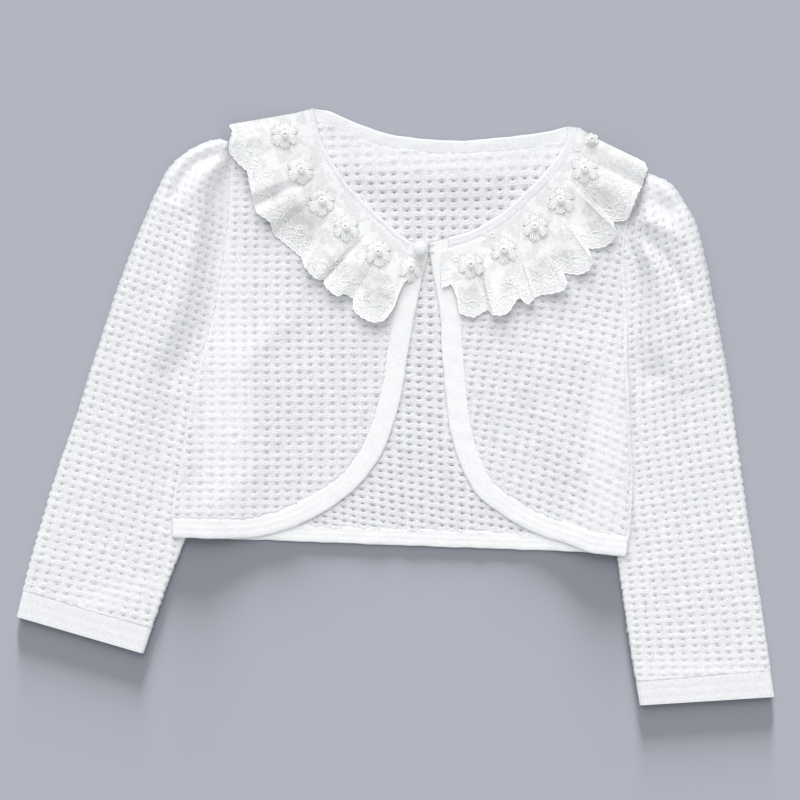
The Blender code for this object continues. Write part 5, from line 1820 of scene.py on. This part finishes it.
@dataclass
class SideSeam:
    """The sewn edge that joins a front to the back, from the neck over the shoulder and down the side."""

    finishes: "Finishes"
    side: Side
    length: float = 290.0
    stitch: float = 5.2
    drops: tuple[float, float] = (1.1, 2.4)

    def build(self) -> None:
        """Make the seams."""
        seam = LINES["side_" + self.side.word]
        neck = LINES["neck_" + self.side.word].at(0.0)
        shoulder = LINES["armhole_" + self.side.word].at(1.0)
        self.wrap(f"side_seam_{self.side.word}", even(seam.at(np.linspace(0, 0.985, 120)), 120), 1.0)
        self.wrap(f"shoulder_seam_{self.side.word}", np.linspace(shoulder, neck, 50), -1.0)
        down = outline_down(self.side, seam.at(0.97)[1], 120)
        armhole = even(down - np.column_stack([np.full(len(down), self.side.value * 0.1), np.zeros(len(down))]), 320)
        underarm = np.linalg.norm(armhole - seam.at(0.0), axis=1)
        height = front_base(armhole) + WALL + 0.05
        path = np.column_stack([armhole, height])
        along = length_shares(path) * self.length
        shape = Shape()
        radius = 1.3 + 0.25 * np.sin(along * 2 * math.pi / self.stitch) + 0.9 * np.exp(-(underarm / 7) ** 2)
        radius *= np.clip((self.length - along) / 12, 0.25, 1)
        shape.add_tubes(path[None], UP, radius[None], sides=12, flatness=0.3, tone=0.75)
        for drop in self.drops:
            lower = path[::2] - (0.0, 0.0, drop)
            lower[:, 2] = np.maximum(lower[:, 2], 1.2)
            shape.add_tubes(lower[None], UP, 1.1, sides=8, tone=0.75)
        shape.build(f"armhole_seam_{self.side.word}", self.finishes.knit, "knit")

    def wrap(self, name: str, line: np.ndarray, turn: float) -> None:
        """Wrap the two layers' edges.

        Args:
            name: Name of the seam.
            line: The edge.
            turn: Which way its outer side lies, 1 or -1.
        """
        out = self.side.value * turn * leftward(unit(np.gradient(line, axis=0)))
        low = back_base(line)
        high = front_base(line) + WALL + 0.1
        middle = 0.5 * (low + high)
        half = 0.5 * (high - low)
        outer = np.stack([
            at_height(line + (0.9 * math.cos(angle) - 0.2) * out, middle + half * math.sin(angle))
            for angle in np.linspace(-math.pi / 2, math.pi / 2, 9)
        ], axis=1)
        inner = outer.copy()
        inner[..., :2] -= 0.9 * out[:, None]
        inner[..., 2] = middle[:, None] + (outer[..., 2] - middle[:, None]) * 0.8
        shape = Shape()
        facing_in = np.cross(outer[1, 4] - outer[0, 4], outer[0, 5] - outer[0, 4])[:2] @ out[0] < 0
        order = slice(None, None, 1 if facing_in else -1)
        shape.add_shell(outer[order], inner[order])
        shape.build(name, self.finishes.jersey, "jersey")


class Wiring:
    """Places and joins the nodes of one shader tree."""

    def __init__(self, tree: bpy.types.NodeTree) -> None:
        """Hold the tree."""
        self.tree = tree

    def node(self, kind: str, inputs: dict, **settings: object) -> bpy.types.Node:
        """Add a node.

        Args:
            kind: Blender's name of its type.
            inputs: Numbers, colours or sockets for its own sockets, by name or place.
            **settings: Its settings.

        Returns:
            The node.
        """
        node = self.tree.nodes.new(kind)
        for name, value in settings.items():
            setattr(node, name, value)
        self.fill(node, inputs)
        return node

    def fill(self, node: bpy.types.Node, inputs: dict) -> None:
        """Give a node its inputs.

        Args:
            node: The node.
            inputs: Numbers, colours or sockets for its own sockets, by name or place.
        """
        for label, value in inputs.items():
            if isinstance(value, bpy.types.NodeSocket):
                self.tree.links.new(value, node.inputs[label])
            else:
                node.inputs[label].default_value = value

    def math(self, operation: str, *values: object, clamp: bool = False) -> bpy.types.NodeSocket:
        """Work out a value, held between 0 and 1 where it is clamped."""
        return self.node("ShaderNodeMath", dict(enumerate(values)), operation=operation, use_clamp=clamp).outputs[0]

    def band(self, value: object, low: float, high: float) -> bpy.types.NodeSocket:
        """Step smoothly from 0 at the low value to 1 at the high one."""
        inputs = dict(enumerate((value, low, high, 0.0, 1.0)))
        return self.node("ShaderNodeMapRange", inputs, interpolation_type="SMOOTHSTEP").outputs[0]

    def noise(self, vector: object, scale: float, detail: float = 3.0) -> bpy.types.NodeSocket:
        """Read a noise, a share about 0.5."""
        inputs = {"Vector": vector, "Scale": scale, "Detail": detail}
        return self.node("ShaderNodeTexNoise", inputs).outputs["Fac"]

    def mix(self, share: object, first: object, second: object) -> bpy.types.NodeSocket:
        """Mix two colours by the share of the second."""
        return self.node("ShaderNodeMix", {0: share, 6: first, 7: second}, data_type="RGBA").outputs[2]


def new_group(name: str, inputs: Sequence[tuple[str, str]],
              outputs: Sequence[str]) -> tuple[Wiring, bpy.types.Node, bpy.types.Node]:
    """Start a shader node group.

    Args:
        name: The group's name.
        inputs: Names and socket types of its inputs.
        outputs: Names of its outputs, all plain values.

    Returns:
        Its wiring, its input node and its output node.
    """
    tree = bpy.data.node_groups.new(name, "ShaderNodeTree")
    for label, kind in inputs:
        tree.interface.new_socket(label, in_out="INPUT", socket_type=kind)
    for label in outputs:
        tree.interface.new_socket(label, in_out="OUTPUT", socket_type="NodeSocketFloat")
    wiring = Wiring(tree)
    return wiring, wiring.node("NodeGroupInput", {}), wiring.node("NodeGroupOutput", {})


def yarn_group() -> bpy.types.NodeTree:
    """Make the group for twisted, slightly hairy cotton yarn."""
    wiring, source, result = new_group("yarn_hair", (("Vector", "NodeSocketVector"),), ("Height",))
    vector = source.outputs["Vector"]
    hair = wiring.noise(vector, 1500.0, 4.0)
    lump = wiring.noise(vector, 420.0, 3.0)
    height = wiring.math("ADD", wiring.math("MULTIPLY", hair, 0.6), wiring.math("MULTIPLY", lump, 0.8))
    wiring.fill(result, {"Height": height})
    return wiring.tree


def jersey_group() -> bpy.types.NodeTree:
    """Make the group for fine stocking stitch, read in cloth coordinates of centimetres."""
    wiring, source, result = new_group(
        "fine_jersey",
        (("Vector", "NodeSocketVector"), ("Wale", "NodeSocketFloat"), ("Course", "NodeSocketFloat")),
        ("Height",),
    )
    split = wiring.node("ShaderNodeSeparateXYZ", {0: source.outputs["Vector"]})
    across = wiring.math("DIVIDE", split.outputs[0], source.outputs["Course"])
    up = wiring.math("DIVIDE", split.outputs[1], source.outputs["Wale"])
    lean = wiring.math("ABSOLUTE", wiring.math("SUBTRACT", wiring.math("FRACT", up), 0.5))
    vee = wiring.math("ADD", across, lean)
    loop = wiring.math("MULTIPLY", wiring.math("SINE", wiring.math("MULTIPLY", vee, 2 * math.pi)), 0.25)
    rib = wiring.math("MULTIPLY", wiring.math("COSINE", wiring.math("MULTIPLY", up, 4 * math.pi)), -0.25)
    wiring.fill(result, {"Height": wiring.math("ADD", wiring.math("ADD", loop, rib), 0.5)})
    return wiring.tree


def net_group() -> bpy.types.NodeTree:
    """Make the group for a fine six-sided net, with a mask of its threads."""
    wiring, source, result = new_group(
        "fine_net", (("Vector", "NodeSocketVector"), ("Scale", "NodeSocketFloat")), ("Threads",))
    inputs = {"Vector": source.outputs["Vector"], "Scale": source.outputs["Scale"], "Randomness": 0.45}
    cells = wiring.node("ShaderNodeTexVoronoi", inputs, feature="DISTANCE_TO_EDGE", voronoi_dimensions="3D")
    threads = wiring.math("SUBTRACT", 1.0, wiring.band(cells.outputs["Distance"], 0.10, 0.20))
    wiring.fill(result, {"Threads": threads})
    return wiring.tree


def new_material(name: str) -> tuple[bpy.types.Material, Wiring, bpy.types.Node, bpy.types.NodeSocket]:
    """Start a material.

    Args:
        name: Its name.

    Returns:
        The material, its wiring, its shader and its place in the piece's own coordinates.
    """
    material = bpy.data.materials.new(name)
    material.use_nodes = True
    wiring = Wiring(material.node_tree)
    place = wiring.node("ShaderNodeTexCoord", {}).outputs["Object"]
    return material, wiring, material.node_tree.nodes["Principled BSDF"], place


class Weave(Enum):
    """What the surface of a finish is made of."""

    KNIT = "knit"
    JERSEY = "jersey"
    NET = "net"
    THREAD = "thread"


@dataclass(frozen=True)
class ClothFinish:
    """Colour, sheen and surface of one cloth."""

    name: str
    weave: Weave
    colour: tuple[float, float, float]
    shade: tuple[float, float, float]
    roughness: float
    sheen: float
    bump: float
    depth: float
    cover: float = 1.0
    mottle: float = 1.0
    grain: float = 900.0

    def material(self, groups: dict[str, bpy.types.NodeTree]) -> bpy.types.Material:
        """Make the material.

        Args:
            groups: The shared node groups.

        Returns:
            The material.
        """
        material, wiring, shader, place = new_material(self.name)
        height = wiring.node("ShaderNodeGroup", {"Vector": place}, node_tree=groups["yarn"]).outputs["Height"]
        if self.weave is Weave.JERSEY:
            cloth = wiring.node("ShaderNodeUVMap", {}, uv_map="cloth").outputs[0]
            inputs = {"Vector": cloth, "Wale": 0.013, "Course": 0.010}
            stitches = wiring.node("ShaderNodeGroup", inputs, node_tree=groups["jersey"])
            soft = wiring.math("MULTIPLY", height, 0.7)
            height = wiring.math("ADD", soft, wiring.math("MULTIPLY", stitches.outputs[0], 0.9))
        # full carries the tone attribute: painted shade in the colour, and how full the yarn is in the alpha.
        full = wiring.node("ShaderNodeAttribute", {}, attribute_name="tone").outputs["Fac"]
        specks = wiring.math("SUBTRACT", wiring.noise(place, self.grain, 2.0), 0.5)
        speckle = wiring.math("MULTIPLY", specks, self.mottle)
        mottle_and_shade = wiring.math("ADD", full, speckle, clamp=True)
        # Painted shade: a low tone mixes the colour towards the shade colour; the speckle adds random mottle on top.
        colour = wiring.mix(mottle_and_shade, (*self.shade, 1.0), (*self.colour, 1.0))
        if self.weave is Weave.NET:
            cloth = wiring.node("ShaderNodeUVMap", {}, uv_map="cloth").outputs[0]
            split = wiring.node("ShaderNodeSeparateXYZ", {0: cloth})
            net = wiring.node("ShaderNodeGroup", {"Vector": place, "Scale": 900.0}, node_tree=groups["net"])
            border = wiring.math("SUBTRACT", 1.0, wiring.band(split.outputs[1], 0.085, 0.105))
            patches = wiring.band(wiring.noise(place, 130.0, 2.0), 0.47, 0.55)
            ground = wiring.math("ADD", wiring.math("MULTIPLY", patches, 0.25), self.cover)
            sheer = wiring.math("MULTIPLY", wiring.math("SUBTRACT", 1.0, full), 0.11)
            bare = wiring.math("SUBTRACT", ground, sheer)
            closed = wiring.math("MAXIMUM", border, bare)
            alpha = wiring.math("MAXIMUM", wiring.math("MULTIPLY", net.outputs["Threads"], 0.96), closed)
            wiring.fill(shader, {"Alpha": alpha})
            height = wiring.math("ADD", height, wiring.math("MULTIPLY", net.outputs["Threads"], 0.8))
        if self.weave in (Weave.KNIT, Weave.THREAD):
            thick = wiring.math("MULTIPLY", full, 1.0 - self.cover)
            wiring.fill(shader, {"Alpha": wiring.math("ADD", thick, self.cover, clamp=True)})
        bump = wiring.node("ShaderNodeBump", {"Strength": self.bump, "Distance": self.depth, "Height": height})
        wiring.fill(shader, {"Base Color": colour, "Roughness": self.roughness, "Sheen Weight": self.sheen,
                             "Sheen Roughness": 0.5, "Specular IOR Level": 0.25, "Normal": bump.outputs["Normal"]})
        return material


@dataclass(frozen=True)
class PearlFinish:
    """The lustre of a bead."""

    name: str
    colour: tuple[float, float, float] = (0.95, 0.94, 0.925)
    blush: tuple[float, float, float] = (0.92, 0.90, 0.885)
    roughness: float = 0.22

    def material(self) -> bpy.types.Material:
        """Make the material."""
        material, wiring, shader, place = new_material(self.name)
        cloud = wiring.noise(place, 160.0, 2.0)
        lustre = wiring.mix(cloud, (*self.blush, 1.0), (*self.colour, 1.0))
        whole = wiring.node("ShaderNodeAttribute", {}, attribute_name="tone").outputs["Fac"]
        # Where the tone is 0 the bead is painted grey-brown: painted shade in its drilled hole.
        colour = wiring.mix(whole, (0.50, 0.48, 0.46, 1.0), lustre)
        wiring.fill(shader, {"Base Color": colour, "Roughness": self.roughness, "Coat Weight": 0.7,
                             "Coat Roughness": 0.08, "Sheen Weight": 0.2})
        return material


class Finishes:
    """Every material of the garment."""

    def __init__(self) -> None:
        """Build the shared groups and the materials."""
        groups = {"yarn": yarn_group(), "jersey": jersey_group(), "net": net_group()}
        # Each cloth's second colour is its shade colour: painted where the tone is low, and the dark side of its
        # random mottle.
        white = (0.935, 0.935, 0.935)
        soft = (0.66, 0.66, 0.68)
        self.knit = ClothFinish("openwork_knit", Weave.KNIT, white, soft, 0.88, 0.15, 0.5, 0.0002,
                               cover=0.80, mottle=1.5).material(groups)
        self.jersey = ClothFinish("band_jersey", Weave.JERSEY, (0.97, 0.97, 0.97), (0.84, 0.84, 0.85), 0.85, 0.2, 0.8,
                                  0.0003, mottle=2.4).material(groups)
        self.lace = ClothFinish("collar_net", Weave.NET, (0.90, 0.90, 0.90), (0.70, 0.70, 0.70), 0.8, 0.2, 0.6,
                                0.0002, cover=0.80, mottle=0.9, grain=500.0).material(groups)
        self.petal = ClothFinish("petal_thread", Weave.THREAD, (0.97, 0.97, 0.965), (0.74, 0.74, 0.74), 0.7, 0.2, 0.20,
                                 0.0001, cover=0.75, mottle=0.8).material(groups)
        self.thread = ClothFinish("embroidery_thread", Weave.THREAD, (0.97, 0.97, 0.965), (0.70, 0.70, 0.70), 0.6, 0.1,
                                  0.35, 0.0001, cover=0.6).material(groups)
        self.cord = ClothFinish("loop_cord", Weave.THREAD, (0.80, 0.77, 0.72), (0.74, 0.70, 0.64), 0.7, 0.2, 0.4,
                                0.0001).material(groups)
        self.pearl = PearlFinish("pearl_lustre").material()
        self.button = PearlFinish("button_lustre", (0.86, 0.87, 0.89), (0.84, 0.85, 0.88), 0.35).material()


@dataclass
class Stage:
    """The floor, the lights and the camera."""

    floor_colour: tuple[float, float, float] = (0.2475, 0.2565, 0.2855)
    height: float = 1.6
    framed: float = 0.520
    centre: tuple[float, float] = (0.002925, 0.004525)

    def build_floor(self) -> None:
        """Make the plain floor."""
        mesh = bpy.data.meshes.new("floor")
        size = 2.5
        mesh.from_pydata([(-size, -size, 0), (size, -size, 0), (size, size, 0), (-size, size, 0)], [], [(0, 1, 2, 3)])
        floor = bpy.data.objects.new("floor", mesh)
        floor.location.z = -0.0004
        bpy.context.scene.collection.objects.link(floor)
        material, wiring, shader, place = new_material("floor_paper")
        cloud = wiring.noise(place, 3.0, 2.0)
        darker = tuple(part * 0.97 for part in self.floor_colour)
        colour = wiring.mix(cloud, (*darker, 1.0), (*self.floor_colour, 1.0))
        wiring.fill(shader, {"Base Color": colour, "Roughness": 1.0, "Specular IOR Level": 0.0})
        mesh.materials.append(material)

    def build_lights(self) -> None:
        """Hang the broad window past the neck, a weak fill, and a low sun that lights only the floor."""
        for name, place, spread, power in (
            ("window", (-0.25, 1.25, 1.05), 56.0, 2.2),
            ("fill", (0.5, -0.7, 1.4), 60.0, 0.5),
            ("low", (0.0, 2.0, 0.26), 10.0, 18.5),
        ):
            lamp = bpy.data.lights.new(name, "SUN")
            lamp.angle = math.radians(spread)
            lamp.energy = power
            light = bpy.data.objects.new(name, lamp)
            light.location = place
            light.rotation_euler = (Vector((0, 0, 0)) - Vector(place)).to_track_quat("-Z", "Y").to_euler()
            bpy.context.scene.collection.objects.link(light)
            if name == "low":
                lit = bpy.data.collections.new("lit_low")
                lit.objects.link(bpy.data.objects["floor"])
                light.light_linking.receiver_collection = lit
        world = bpy.data.worlds.new("room")
        world.use_nodes = True
        sky = world.node_tree.nodes["Background"]
        sky.inputs["Color"].default_value = (0.93, 0.96, 1.0, 1.0)
        sky.inputs["Strength"].default_value = 0.52
        bpy.context.scene.world = world
        bpy.context.scene.view_settings.view_transform = "Standard"

    def build_camera(self) -> None:
        """Look straight down at the garment."""
        lens = bpy.data.cameras.new("overhead")
        lens.sensor_width = 36.0
        lens.lens = 36.0 * self.height / self.framed
        camera = bpy.data.objects.new("overhead", lens)
        camera.location = (*self.centre, self.height)
        bpy.context.scene.collection.objects.link(camera)
        bpy.context.scene.camera = camera


TRIMS_RIGHT: tuple[Spots, ...] = (
    ((-106.7, 165.1), (-101.9, 158.6), (-95.4, 152.4)),
    ((-66.6, 135.8), (-72.5, 132.9), (-78.3, 130.0), (-88.1, 124.8)),
    ((-75.7, 109.8), (-68.6, 104.6), (-60.8, 98.8)),
    ((-27.0, 91.6), (-36.1, 84.2), (-44.2, 79.9)),
    ((-27.0, 70.8), (-27.0, 63.0), (-21.4, 58.1), (-15.0, 56.2), (-8.1, 57.2), (-1.0, 65.0)),
    ((-51.7, 103.3), (-54.9, 96.8), (-59.5, 91.0)),
)
TRIMS_LEFT: tuple[Spots, ...] = (
    ((119.3, 140.4), (125.8, 133.2), (132.3, 126.7), (138.1, 119.6)),
    ((111.3, 118.9), (116.0, 109.2), (121.2, 101.4), (126.8, 95.5)),
    ((95.9, 98.8), (102.4, 87.1), (108.2, 79.9)),
    ((82.2, 92.3), (85.5, 80.6), (87.4, 71.5)),
    ((41.9, 63.7), (51.0, 61.1), (60.1, 65.0)),
    ((59.5, 81.9), (63.6, 64.3), (69.9, 63.7), (77.0, 71.5)),
    ((138.1, 148.8), (148.5, 145.6), (159.6, 143.0)),
)
RINGS_RIGHT: Spots = (
    (-83.9, 150.5), (-20.5, 70.8), (-62.1, 116.3), (-37.4, 94.2), (-96.5, 160.5), (-2.3, 76.7),
)
RINGS_LEFT: Spots = (
    (126.8, 144.0), (118.0, 167.3), (62.5, 111.4), (39.0, 95.9), (74.4, 81.4), (65.8, 65.0), (147.2, 137.5),
)


def main() -> None:
    """Build every piece of the garment and its surroundings."""
    logging.basicConfig(level=logging.INFO, format="%(name)s: %(message)s")
    stage = Stage()
    stage.build_camera()
    stage.build_floor()
    stage.build_lights()
    finishes = Finishes()
    BackRuffle(finishes).build()
    BackBody(finishes).build()
    FrontBody(finishes, Side.RIGHT, Grain(7.08, 5.12, -0.5, 21), CORNER_RIGHT).build()
    FrontBody(finishes, Side.LEFT, Grain(7.04, 5.05, -11.0, 22, 0.0, 0.0, 0.05, 0.15, 0.30), CORNER_LEFT).build()
    Sleeve(finishes, Side.RIGHT, ARM_RIGHT, HEAD_RIGHT, SLEEVE_FOLDS_RIGHT,
           Grain(6.57, 5.36, -17.0, 31, -0.11, 0.0, -0.02, -0.06)).build()
    Sleeve(finishes, Side.LEFT, ARM_LEFT, HEAD_LEFT, SLEEVE_FOLDS_LEFT,
           Grain(6.55, 5.22, 10.0, 32, -0.07, 0.0, 0.03, 0.115)).build()
    for side in Side:
        SideSeam(finishes, side).build()
    CollarSide(finishes, Side.RIGHT, RUFFLE_RIGHT, FLOWERS_RIGHT, TRIMS_RIGHT, RINGS_RIGHT).build()
    CollarSide(finishes, Side.LEFT, RUFFLE_LEFT, FLOWERS_LEFT, TRIMS_LEFT, RINGS_LEFT).build()
    closing = ButtonAndLoop(finishes)
    closing.button()
    closing.loop()


if __name__ == "__main__":
    main()
